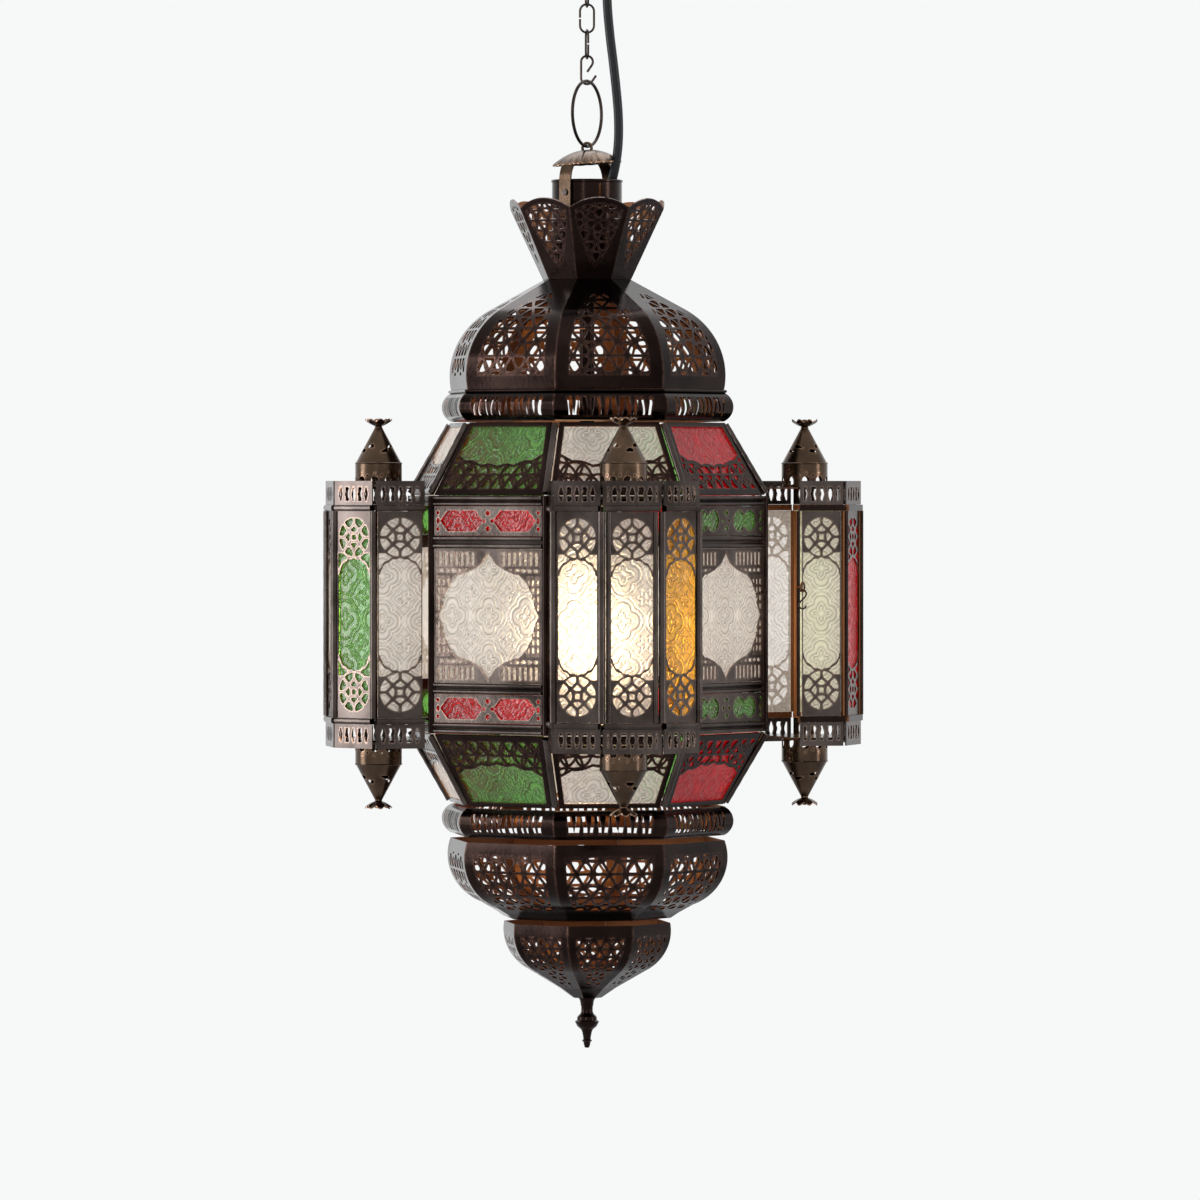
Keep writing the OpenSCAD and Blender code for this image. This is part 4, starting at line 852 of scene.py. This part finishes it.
def make_slopes():
    """Frames, panes and corner ribs of the sixteen slopes."""
    for lower in (False, True):
        tag = "lower" if lower else "upper"
        places = [slope_place(k, lower) for k in range(8)]
        frames, ribs = Shape(), Shape()
        for place in places:
            frames.plate(panel(slope_half(2.8), SLOPE_LONG, (88, 48), slope_metal),
                         lambda x, y: place(x, y, 0.8), lambda x, y: place(x, y, 0.0))
        frames.build(f"{tag}_slope_frames", "slope_frames")
        for tint in ("clear", "green", "red"):
            glass = Shape()
            for k, place in enumerate(places):
                if SLOPE_TINT[k] == tint:
                    pane(glass, slope_half(3.4), SLOPE_LONG - 3.4, lambda x, y, o: place(x, y, o - 0.1),
                         1.0, 1.0, 7.0 * k, 2.6)
            glass.build(f"{tag}_slope_panes_{tint}", f"slope_glass_{tint}", tint, slot=f"{tint}_glass",
                        crease=PANE_CREASE)
        for k in range(8):
            a, t = (k + 0.5) * EIGHTH, np.linspace(0, 1, 40)
            low, high = ((end[0] + 0.6) / cos(pi / 8) for end in (SLOPE_FOOT, SLOPE_HEAD))
            r = low + (high - low) * t
            z = SLOPE_FOOT[1] + 1.2 + (SLOPE_HEAD[1] - 2.2 - SLOPE_FOOT[1]) * t
            z = SILL_Z + WALL_Z - z if lower else z
            ribs.wire(points_of(r * cos(a), r * sin(a), z), 2.2 * (1 + 0.03 * np.sin(t * 37 + k)), 16)
        ribs.build(f"{tag}_slope_ribs", "slope_ribs", "bronze_edge")


WALL_HALF = (WALL_R - 1.3) * T8 - 2.5 - 0.06
SHEET_HALF = WALL_HALF - 0.05
STRIP_SPANS = ((RAILS[0][0] - RAILS[0][1], RAILS[1][0]), (RAILS[2][0] - RAILS[2][1], RAILS[3][0]))
CURTAIN_SPAN = (RAILS[1][0] - RAILS[1][1], RAILS[2][0])


def wall_sheet(shape, k, span, metal, glass, cell, seed, depth):
    """A pierced sheet on a wall side between two levels, and the pane behind it."""
    middle, h = (span[0] + span[1]) / 2, span[0] - span[1] - 0.1

    def place(x, y, out):
        return side(k)(WALL_R + out, x, middle + y)

    shape.plate(panel(flat(SHEET_HALF), h, cells_of(2 * SHEET_HALF, h, 0.95), metal, -h / 2),
                lambda x, y: place(x, y, -0.4), lambda x, y: place(x, y, -1.2))
    pane(glass, flat(SHEET_HALF), h, lambda x, y, o: place(x, y, o - 1.3), cell, -h / 2, seed, depth=depth)


def strip_metal(oval):
    """Windows, pointed or doubly round, with a saltire and small openings between them."""
    def metal(x, y):
        ax, ay = np.abs(x), np.abs(y)
        u = ax - 21.5
        if oval:
            window = np.maximum(6.9 - np.hypot(u + 6.2, y), 6.9 - np.hypot(u - 6.2, y))
        else:
            window = np.minimum(6.9 - ay, (17.4 - np.abs(u) - 0.9 * ay) * 0.74)
        gem = 2.0 - (ax * 0.8 + np.abs(ay - 5.2))
        small = np.maximum(1.3 - np.hypot(ax - 3.4, y), 1.3 - np.hypot(ax - 40.8, ay - 5.4))
        leaf = 1.0 - np.hypot((ax - 40.6) * 0.8, y * 0.5)
        return -np.max([window, gem, small, leaf], axis=0)
    return metal


CURTAIN_EDGE = ((0, 0.06, 0.17, 0.33, 0.45, 0.6, 0.74, 0.85, 0.9, 0.985),    # shares of the half width and of
                (1, 0.9, 0.79, 0.70, 0.665, 0.64, 0.52, 0.34, 0.14, 0))      # the half height, head to side


def curtain_metal(x, y):
    """A curtain-shaped opening with scalloped edges, slots at head and foot, small holes beside."""
    w, h = WALL_HALF - 2.4, (CURTAIN_SPAN[0] - CURTAIN_SPAN[1]) / 2 - 2.4
    ax, ay = np.abs(x), np.abs(y)
    edge = np.interp(ax / w, *CURTAIN_EDGE) * h
    opening = (edge - ay) * 0.55 + 0.7 * np.abs(np.sin(np.hypot(ax, ay) * 0.62)) * 0.6
    slots = np.min([1.3 - np.abs((ax - 10.4) % 4.4 - 2.2), ay - (h - 8.6), h - ay, ax - 10.0], axis=0)
    ovals = np.minimum(1.5 - np.hypot(((ax - 16.0) % 5.0 - 2.5) * 0.72, (ay - (h - 12.0)) * 1.2), ax - 16.5)
    grid = np.min([1.15 - np.abs((ax - 30.6) % 3.9 - 1.95), 1.9 - np.abs((ay - 3.2) % 5.4 - 2.7),
                   h - 16.0 - ay, ax - 30.5, ay - 4], axis=0)
    holes = np.max([slots, ovals, grid], axis=0)
    holes = np.min([holes, (ay - edge) * 0.55 - 1.35, w - ax], axis=0)
    return -np.maximum(np.minimum(opening, w - ax), holes)


def make_rails():
    """Rails of two rounds each, in short steps with the slight unevenness of hand-bent sheet."""
    rails = Shape()
    c, s = arc(0, 0, 1, 90, -90, 10).T
    x = np.linspace(-WALL_HALF, WALL_HALF, 16)[:, None]
    for k in range(8):
        for i, (top, h) in enumerate(RAILS):
            if k % 2 or i in (0, 3):
                rounds = [points_of(WALL_R - 0.5 + 1.4 * c, top - h * (at - 0.19 * s)) for at in (0.21, 0.79)]
                r, z = np.vstack([[[WALL_R - 3.4, top]], rounds[0], [[WALL_R - 0.9, top - h * 0.5]],
                                  rounds[1], [[WALL_R - 3.4, top - h]]]).T
                lift = 0.05 * np.sin(x * 0.35 + z) * np.cos(x * 0.11)
                rails.tube(side(k)(r + lift * (r > r.mean()), x, z))
    rails.build("rails", "wall_rails", "bronze_edge", crease=40)


def make_wall():
    """Rails, strips, curtain sheets and their panes."""
    make_rails()
    strips, panes = Shape(), {"red": Shape(), "green": Shape()}
    for k in (1, 3, 5, 7):
        oval = k in (3, 7)
        for span in STRIP_SPANS:
            glass = panes["green" if oval else "red"]
            wall_sheet(strips, k, span, strip_metal(oval), glass, 0.9, 5.0 * k, 0.5)
    strips.build("strips", "strip_panels", "bronze_edge")
    for tint, finish in (("red", "deep_red"), ("green", "green")):
        panes[tint].build(f"strip_panes_{tint}", f"strip_glass_{tint}", finish, slot=f"{tint}_glass",
                          crease=PANE_CREASE)
    for k in (1, 3, 5, 7):
        sheet, glass = Shape(), Shape()
        wall_sheet(sheet, k, CURTAIN_SPAN, curtain_metal, glass, 0.95, 0.0, 0.55)
        sheet.build(f"curtain_sheet_{k}", "panel_lattices", "bronze_edge")
        glass.build(f"curtain_pane_{k}", "panel_glass", "clear", slot="clear_glass", crease=PANE_CREASE)


# ---------- turret bays and the door ----------

HEAD_H = 42.0                 # height of a light's pierced head
LIGHT_EDGE = 2.8              # from a bay's corner to the glass
FREE = 13.7                   # half width of a front light's opening
FRIEZE_SHEET_H, SLOT_PITCH = 15.9, 5.8
BAY_CELL, ROD_SIDES = 0.9, 20


def bay_plan(back):
    """The corners of a bay that faces +X, from one end of its back to the other."""
    return np.array([[back, -44.73], [151, -48], [173, -20], [173, 20], [151, 48], [back, 44.73]])


def bay_side(angle, back, i, turn):
    """Maps (along from the side's middle, z, out of it) to space for side i of a bay facing an angle, and says
    how wide that side is."""
    a, b = bay_plan(back)[i:i + 2]
    wide = float(np.linalg.norm(b - a))
    d = (b - a) / wide
    middle = (a + b) / 2

    def place(x, z, out):
        along, across = middle[0] + x * d[0] + out * d[1], middle[1] + x * d[1] - out * d[0]
        return on_bay(points_of(along, across, z), turn, angle)
    return place, wide


def head_metal(free):
    """Head of a light: a pierced round over the arched end of the opening. Eight spokes run in from its rim,
    four to nodes on its diagonals and four to forks on its axes, whose two limbs end at the nodes. Shallow
    arcs from node to node bound the middle."""
    big, middle = FREE - 0.9, HEAD_H - 17.2
    node, fork, thick = 0.36 * big, 0.68 * big, 0.62 + 0.025 * big
    tip = middle - big - 1.3

    def joined(bars, more):
        return -smooth_min(-bars, -more, 0.9)

    def metal(x, y):
        u, v = np.abs(x) * FREE / free, np.abs(y - middle)
        rho = np.hypot(u, v)
        bars = np.minimum(thick - np.abs(u - v) / sqrt(2), rho - 0.5 * big)
        for a, b in ((u, v), (v, u)):
            bars = joined(bars, np.minimum(thick - a, b - fork))
            t = np.clip((a * node + (fork - b) * (fork - node)) / (node ** 2 + (fork - node) ** 2), 0, 1)
            limb = thick - np.hypot(a - node * t, b - fork + (fork - node) * t)
            inner = np.minimum(thick - np.abs(np.hypot(a, b - 0.714 * big) - 0.508 * big), 0.42 * big - a)
            bars = joined(bars, np.maximum(limb, np.minimum(inner, 0.5 * big - b)))
        holes = smooth_min(big - rho, -bars, 0.8)
        rest = (tip - FREE) - y
        opening = np.where(rest > 0, FREE - u, FREE - np.hypot(u, -rest) + 0.35 * np.cos(x * 1.2))
        opening = np.minimum(opening, tip + 0.4 - y)
        spandrel = np.min([rho - big - 1.3, -opening - 1.4, FREE - u, tip + 3.5 - y], axis=0)
        return np.minimum(-opening, -np.maximum(holes, spandrel))
    return metal


def frieze_metal(wide, up):
    """Slots, waisted and straight in turn, in the outer half of a frieze."""
    def metal(x, y):
        v = (y if up else FRIEZE_SHEET_H - y) - 7.2
        cell = (x + SLOT_PITCH / 2) % SLOT_PITCH - SLOT_PITCH / 2
        odd = np.where(np.round((x - cell) / SLOT_PITCH) % 2 > 0.5, 1.0, 0.0)
        across = 1.15 + 0.55 * np.cos(v * 0.62) * (1 - odd) + 0.5 * odd
        slot = np.minimum(across - np.abs(cell + 0.35 * np.sin((v + 7.2) * 1.1) * odd), 4.7 - np.abs(v))
        return -np.minimum(slot, wide / 2 - 3.8 - np.abs(x))
    return metal


def bay_fret(fret, place, half, free, wires):
    """A light's sheet: pierced heads at both ends and plain edges between them, with wires on the edges of the
    front one."""
    pattern = panel(flat(half), HEAD_H, cells_of(2 * half, HEAD_H, BAY_CELL), head_metal(free))
    for level, up in ((LIGHT_HIGH - HEAD_H, 1), (LIGHT_LOW + HEAD_H, -1)):
        fret.plate(pattern, lambda x, y: place(x, level + up * y, 0.4),
                   lambda x, y: place(x, level + up * y, -0.4))
    z = np.linspace(LIGHT_LOW + 0.1, LIGHT_HIGH - 0.1, 40)
    for s in (-1, 1):
        x0, x1 = sorted((s * half, s * free))
        fret.box((x0, -0.4, LIGHT_LOW + HEAD_H), (x1, 0.4, LIGHT_HIGH - HEAD_H),
                 lambda q: place(q[:, 0], q[:, 2], q[:, 1]))
        if wires:
            fret.wire(place(s * (half - 1.8) + 0.04 * np.sin(z * 0.4), z, 0.9), 1.5 + 0.05 * np.sin(z * 0.7))


def bay_mouldings(frame, place, x0, x1):
    """The two half-round mouldings of a bay's side, in short uneven steps."""
    c, s = arc(0, 0, 1, -90, 90, 8).T
    x = np.linspace(x0, x1, 14)[:, None]
    for z in (INNER_LOW, INNER_TOP - MOULD_H):
        out, up = np.vstack([[[-2.0, z], [1.6, z]], points_of(1.6 + 1.0 * c, z + 2.0 + 1.9 * s),
                             [[1.6, z + 4.0], [-2.0, z + 4.0]]]).T
        frame.tube(place(x, up + 0.06 * np.sin(x * 0.5), out))


def make_bay(tag, body, angle, back, tints, nodes, turn=0.0):
    """One bay: pierced heads, panes, friezes, mouldings and rods."""
    fret, friezes, frame, panes = Shape(), Shape(), Shape(), {}
    middle, tall = (LIGHT_LOW + LIGHT_HIGH) / 2, LIGHT_HIGH - LIGHT_LOW
    for i, tint in enumerate(tints):
        place, wide = bay_side(angle, back, i, turn)
        half, outer, front = wide / 2 - LIGHT_EDGE, i in (0, 4), i == 2
        bay_fret(fret, place, half, half - (3.5 if front else 0.5), front)
        pane(panes.setdefault(tint, Shape()), flat(half), tall, lambda x, y, o: place(x, middle + y, o - 0.5),
             BAY_CELL, -tall / 2, 3.0 * i)
        for z, up in ((INNER_TOP + 0.1, True), (BAY_LOW, False)):
            pattern = panel(flat(wide / 2 - (1.2 if outer else 0.6)), FRIEZE_SHEET_H,
                            (int(wide / BAY_CELL), 18), frieze_metal(wide, up))
            friezes.plate(pattern, lambda x, y: place(x, z + y, 1.0), lambda x, y: place(x, z + y, 0.0))
        end = (0.0 if i == 0 else 1.1) + (0.4 if outer else 0.3)
        bay_mouldings(frame, place, -wide / 2 + end, wide / 2 - end)
    z = np.linspace(INNER_LOW + 4.05, INNER_TOP - 4.05, 50)
    for x, y in bay_plan(back)[1:5]:
        frame.wire(on_bay(points_of(x, y, z), turn, angle), 2.5 - 0.05 * (1 + np.sin(z * 0.5 + y)), ROD_SIDES)
    fret.build(f"{tag}_fretwork", nodes + "_fretwork", "bronze_edge", body)
    friezes.build(f"{tag}_friezes", nodes + "_friezes", "bronze_edge", body)
    if nodes == "bay":
        frame.build(f"{tag}_rods", "bay_frames", "bronze_edge", body)
    for tint, glass in panes.items():
        # painted light: the door's green panes get a paler, glowing copy of the green glass
        finish = "painted_lit_green" if (nodes, tint) == ("door", "green") else tint
        glass.build(f"{tag}_panes_{tint}", f"{nodes}_glass_{tint}", finish, body, f"{tint}_glass", PANE_CREASE)


def make_bays(sizes):
    """The three fixed bays."""
    tints = {90: {1: "green", 3: "amber"}, 180: {3: "green", 1: "amber"}, 270: {3: "amber"}}
    for angle, special in tints.items():
        make_bay(f"bay_{angle}", "lantern", radians(angle), BAY_BACK,
                 [special.get(i, "clear") for i in range(5)], "bay")
    make_spires("bay", "lantern", [radians(a) for a in tints], 0.0, in_mm(sizes.flower))


def make_door(sizes):
    """The bay on the door, which stands ajar. Its frame is the frame node itself."""
    make_bay("door", "door", 0.0, DOOR_BACK, ["clear", "red", "clear", "green", "clear"], "door", DOOR_TURN)
    make_spires("door", "door", [0.0], DOOR_TURN, in_mm(sizes.flower))


# ---------- cap, spires, flowers and finial ----------

def make_cap():
    """The fluted cap: a shallow dome, lower towards its rim by a power of the radius, with twenty ripples. It
    has a notch for the cable and a slot for the split pin."""
    rim, tilt, pin = 23.3, radians(3.5), STRAP_TURN + pi / 2
    x, y = np.meshgrid(*[np.linspace(-24, 24, 109)] * 2, indexing="ij")
    edge = rim - 1.1 * (1 - np.abs(np.cos(10 * np.arctan2(y, x)))) - np.hypot(x, y)
    cable = np.minimum(np.hypot(x - 18.3, y + 11.7), np.hypot(x - 27, y + 17.3)) - 5.2
    across = np.clip(x * cos(pin) + y * sin(pin), -3.7, 3.7)
    slot = np.hypot(x - across * cos(pin), y - across * sin(pin)) - 1.25

    def face(depth):
        def put(u, v):
            r, t = np.hypot(u, v) / rim, np.arctan2(v, u)
            z = -9.2 * r ** 2.1 + 0.75 * r ** 3 * (np.abs(np.cos(10 * t)) - 0.6) - depth
            return points_of(u * cos(tilt), v, CAP_TOP - 0.1 + z + u * sin(tilt))
        return put

    cap = Shape()
    cap.plate(contour(np.minimum(np.minimum(edge, cable), slot), x, y), face(0.0), face(1.0))
    cap.build("rosette_cap_fluted", "rosette_cap", "tarnished", crease=50)


def rolled_up(shape, radius, height, metal, place, thick=0.8, cell=1.1):
    """A pierced sheet rolled to a drum or a cone: x is the arc, so the angle is x over the radius."""
    def half(y):
        return pi * radius(y)

    def face(depth):
        def put(x, y):
            r = radius(y)
            return place((r - depth) * np.cos(x / r), (r - depth) * np.sin(x / r), y)
        return put

    cells = cells_of(2 * half(np.zeros(1))[0], height, cell)
    shape.plate(panel(half, height, cells, metal), face(0.0), face(thick))


def cone_radius(y):
    """The spire's radius falls evenly with height."""
    return CONE_FOOT_R - 13.1 * y / CONE_H


def drum_metal(x, y):
    """Ten arches with small round holes between and over them."""
    pitch = 2 * pi * DRUM_R / 10
    u = (x + pitch / 2) % pitch - pitch / 2
    arch = np.minimum(2.7 - np.hypot(u, np.maximum(y - 4.6, 0)), y - 1.6)
    dots = np.maximum(0.85 - np.hypot(np.abs(u) - pitch / 2, y - 7.8), 0.7 - np.hypot(u, y - 9.4))
    return -np.maximum(arch, dots)


def cone_metal(x, y):
    """Curved slits, four round at each of two heights, the upper ones between the lower."""
    field = np.full(x.shape, -1e9)
    for level, shift in ((7.6, 0.35), (10.6, 1.0)):
        share = pi * cone_radius(level) / 2
        u = (x + shift * share) % share - share / 2
        bow = 1 - (u / 3.4) ** 2
        field = np.maximum(field, 1.25 * bow - np.abs(y - level - 0.9 * bow))
    return -field


def flower(shape, place, reach, lift=4.4, lobes=8):
    """A dished flower: its edge is a wave round a circle, and it rises outwards by a power of the radius."""
    x, y = np.meshgrid(*[np.linspace(-reach - 0.4, reach + 0.4, 45)] * 2, indexing="ij")
    wave = np.abs(np.cos(lobes / 2 * np.arctan2(y, x)))
    edge = reach - 0.17 * reach * (1 - wave) - np.hypot(x, y)

    def face(depth):
        def put(u, v):
            r, t = np.hypot(u, v) / reach, np.arctan2(v, u)
            return place(u, v, lift * r ** 1.7 + 0.35 * r ** 2 * np.cos(lobes * t) + depth)
        return put
    shape.plate(contour(edge, x, y), face(0.8), face(0.0))


STEM = ((2.4, 39.4), (2.6, 40.2), (1.5, 41.0), (1.5, 43.0), (2.1, 43.6), (1.6, 45.2), (0.5, 45.6))


def make_spires(tag, body, angles, turn, reach):
    """Spires on the upper plates of bays and drops under the lower ones, with their flowers."""
    cones, flowers = Shape(), Shape()
    for angle in angles:
        for up, base in ((1, BAY_TOP - 4.15), (-1, BAY_LOW + 4.15)):
            def place(x, y, z):
                return on_bay(points_of(SPIRE_R + x, y, base + up * z), turn, angle)

            rolled_up(cones, flat(DRUM_R), FRIEZE_SHEET_H, drum_metal, place)
            rolled_up(cones, cone_radius, CONE_H, cone_metal, lambda x, y, z: place(x, y, z + 15.95))
            t = circle(60)
            cones.wire(place(CONE_FOOT_R * np.cos(t), CONE_FOOT_R * np.sin(t), 15.9), 0.55, 10, True)
            flowers.lathe(STEM, 20, place)
            flower(flowers, lambda x, y, z: place(x, y, z + 40.2), reach)
    cones.build(f"{tag}_spires", f"{tag}_cones", "tarnished", body)
    flowers.build(f"{tag}_flowers", f"{tag}_flowers", "tarnished", body, crease=50)


FINIAL = ((0.01, -774.6), (5.6, -774.6), (5.7, -775.6), (5.2, -776.4), (4.6, -777.6), (4.7, -778.4),
          (4.3, -779.2), (4.4, -780.0), (4.0, -781.0), (3.9, -784.4), (4.3, -785.6), (5.2, -786.8),
          (6.0, -787.4), (6.6, -788.4), (6.8, -790.4), (8.0, -791.0), (8.1, -791.6), (7.3, -793.0),
          (6.5, -794.6), (5.2, -795.6), (3.9, -796.8), (3.2, -798.6), (2.7, -801.2), (2.5, -803.2),
          (3.3, -803.8), (3.3, -804.4), (2.5, -805.0), (2.1, -806.8), (1.7, -808.3), (1.2, -808.9),
          (0.01, -809.0))


def make_finial():
    """The turned finial under a flange of petals."""
    finial = Shape()
    finial.lathe(FINIAL, 40)
    flower(finial, lambda x, y, z: points_of(x, y, -776.3 + z), 10.3, 2.0)
    finial.build("turned_finial", "finial", crease=40)


# ---------- the add-on ----------

def length_of(name, description, default):
    """A size in metres."""
    return bpy.props.FloatProperty(name=name, description=description, default=default, min=0.0005, max=0.1,
                                   precision=4, unit="LENGTH")


def colour_of(name, description, default):
    """A colour."""
    return bpy.props.FloatVectorProperty(name=name, description=description, default=default, min=0, max=1,
                                         subtype="COLOR")


class LanternSizes(bpy.types.PropertyGroup):
    """Sizes of the ornament and of the cable."""

    dome_ring: length_of("Dome rings", "Spacing of the dome's pierced rings", 0.024)
    bowl_ring: length_of("Bowl rings", "Spacing of the bowl's pierced rings", 0.022)
    tail_ring: length_of("Tail rings", "Spacing of the tail's pierced rings", 0.0154)
    crown_ring: length_of("Crown rings", "Spacing of the crown's pierced rings", 0.018)
    bar: length_of("Bars", "Width of the bars in dome, bowl and tail", 0.0018)
    crown_bar: length_of("Crown bars", "Width of the bars in the crown", 0.0016)
    flower: length_of("Flowers", "Radius of the flowers at the spires' tips", 0.0091)
    cable: length_of("Cable", "Diameter of the supply cable", 0.0062)


class LanternColours(bpy.types.PropertyGroup):
    """Colours of the metal and of the glass."""

    bronze: colour_of("Bronze", "The patinated sheet", (0.026, 0.0155, 0.013))
    clear: colour_of("Clear glass", "The uncoloured panes", (0.99, 0.975, 0.95))
    green: colour_of("Green glass", "The green panes", (0.24, 0.74, 0.14))
    red: colour_of("Red glass", "The red panes", (0.80, 0.018, 0.035))
    amber: colour_of("Amber glass", "The amber panes", (0.98, 0.55, 0.06))


class LANTERN_OT_finishes(bpy.types.Operator):
    """Makes the finishes and gives them to the frame's nodes"""

    bl_idname = "lantern.finishes"
    bl_label = "Finishes"

    def execute(self, context):
        make_finishes(context.scene.lantern_colours)
        finish_nodes()
        return {"FINISHED"}


class LANTERN_OT_camera(bpy.types.Operator):
    """Sets the camera"""

    bl_idname = "lantern.camera"
    bl_label = "Camera"

    def execute(self, context):
        make_camera()
        return {"FINISHED"}


class LANTERN_OT_cable(bpy.types.Operator):
    """Makes the supply cable"""

    bl_idname = "lantern.cable"
    bl_label = "Supply cable"

    def execute(self, context):
        make_cable(context.scene.lantern_sizes)
        return {"FINISHED"}


class LANTERN_OT_dome(bpy.types.Operator):
    """Makes the dome's petals"""

    bl_idname = "lantern.dome"
    bl_label = "Dome"

    def execute(self, context):
        make_dome(context.scene.lantern_sizes)
        return {"FINISHED"}


class LANTERN_OT_crown(bpy.types.Operator):
    """Makes the crown's panels"""

    bl_idname = "lantern.crown"
    bl_label = "Crown"

    def execute(self, context):
        make_crown(context.scene.lantern_sizes)
        return {"FINISHED"}


class LANTERN_OT_cap(bpy.types.Operator):
    """Makes the fluted cap"""

    bl_idname = "lantern.cap"
    bl_label = "Rosette cap"

    def execute(self, context):
        make_cap()
        return {"FINISHED"}


class LANTERN_OT_bead_rings(bpy.types.Operator):
    """Makes the slotted rings"""

    bl_idname = "lantern.bead_rings"
    bl_label = "Bead rings"

    def execute(self, context):
        make_bead_rings()
        return {"FINISHED"}


class LANTERN_OT_bowls(bpy.types.Operator):
    """Makes the bowl and the tail"""

    bl_idname = "lantern.bowls"
    bl_label = "Bowls"

    def execute(self, context):
        make_bowls(context.scene.lantern_sizes)
        return {"FINISHED"}


class LANTERN_OT_finial(bpy.types.Operator):
    """Makes the turned finial"""

    bl_idname = "lantern.finial"
    bl_label = "Finial"

    def execute(self, context):
        make_finial()
        return {"FINISHED"}


class LANTERN_OT_slopes(bpy.types.Operator):
    """Makes the sloping sides"""

    bl_idname = "lantern.slopes"
    bl_label = "Slopes"

    def execute(self, context):
        make_slopes()
        return {"FINISHED"}


class LANTERN_OT_wall(bpy.types.Operator):
    """Makes the rails, strips and curtain sheets"""

    bl_idname = "lantern.wall"
    bl_label = "Wall"

    def execute(self, context):
        make_wall()
        return {"FINISHED"}


class LANTERN_OT_bays(bpy.types.Operator):
    """Makes the three fixed bays"""

    bl_idname = "lantern.bays"
    bl_label = "Bays"

    def execute(self, context):
        make_bays(context.scene.lantern_sizes)
        return {"FINISHED"}


class LANTERN_OT_door(bpy.types.Operator):
    """Makes the bay on the door"""

    bl_idname = "lantern.door"
    bl_label = "Door"

    def execute(self, context):
        make_door(context.scene.lantern_sizes)
        return {"FINISHED"}


class LANTERN_OT_stage(bpy.types.Operator):
    """Makes the floor, the surround and the lamps"""

    bl_idname = "lantern.stage"
    bl_label = "Stage"

    def execute(self, context):
        make_stage()
        return {"FINISHED"}


OPERATORS = (LANTERN_OT_finishes, LANTERN_OT_camera, LANTERN_OT_cable, LANTERN_OT_dome, LANTERN_OT_crown,
             LANTERN_OT_cap, LANTERN_OT_bead_rings, LANTERN_OT_bowls, LANTERN_OT_finial, LANTERN_OT_slopes,
             LANTERN_OT_wall, LANTERN_OT_bays, LANTERN_OT_door, LANTERN_OT_stage)


class LANTERN_PT_panel(bpy.types.Panel):
    """Lists the sizes, the colours and the pieces"""

    bl_idname = "LANTERN_PT_panel"
    bl_label = "Lantern"
    bl_space_type = "VIEW_3D"
    bl_region_type = "UI"
    bl_category = "Lantern"

    def draw(self, context):
        for group in (context.scene.lantern_sizes, context.scene.lantern_colours):
            for name in type(group).__annotations__:
                self.layout.prop(group, name)
        for operator in OPERATORS:
            self.layout.operator(operator.bl_idname)


CLASSES = (LanternSizes, LanternColours, *OPERATORS, LANTERN_PT_panel)


def register():
    for cls in CLASSES:
        bpy.utils.register_class(cls)
    bpy.types.Scene.lantern_sizes = bpy.props.PointerProperty(type=LanternSizes)
    bpy.types.Scene.lantern_colours = bpy.props.PointerProperty(type=LanternColours)


def unregister():
    del bpy.types.Scene.lantern_colours, bpy.types.Scene.lantern_sizes
    for cls in reversed(CLASSES):
        bpy.utils.unregister_class(cls)


def main():
    """Makes every piece in order."""
    register()
    bpy.context.scene.view_settings.view_transform = "Standard"
    for operator in OPERATORS:
        getattr(bpy.ops.lantern, operator.bl_idname.split(".")[1])()


if __name__ == "__main__":
    main()
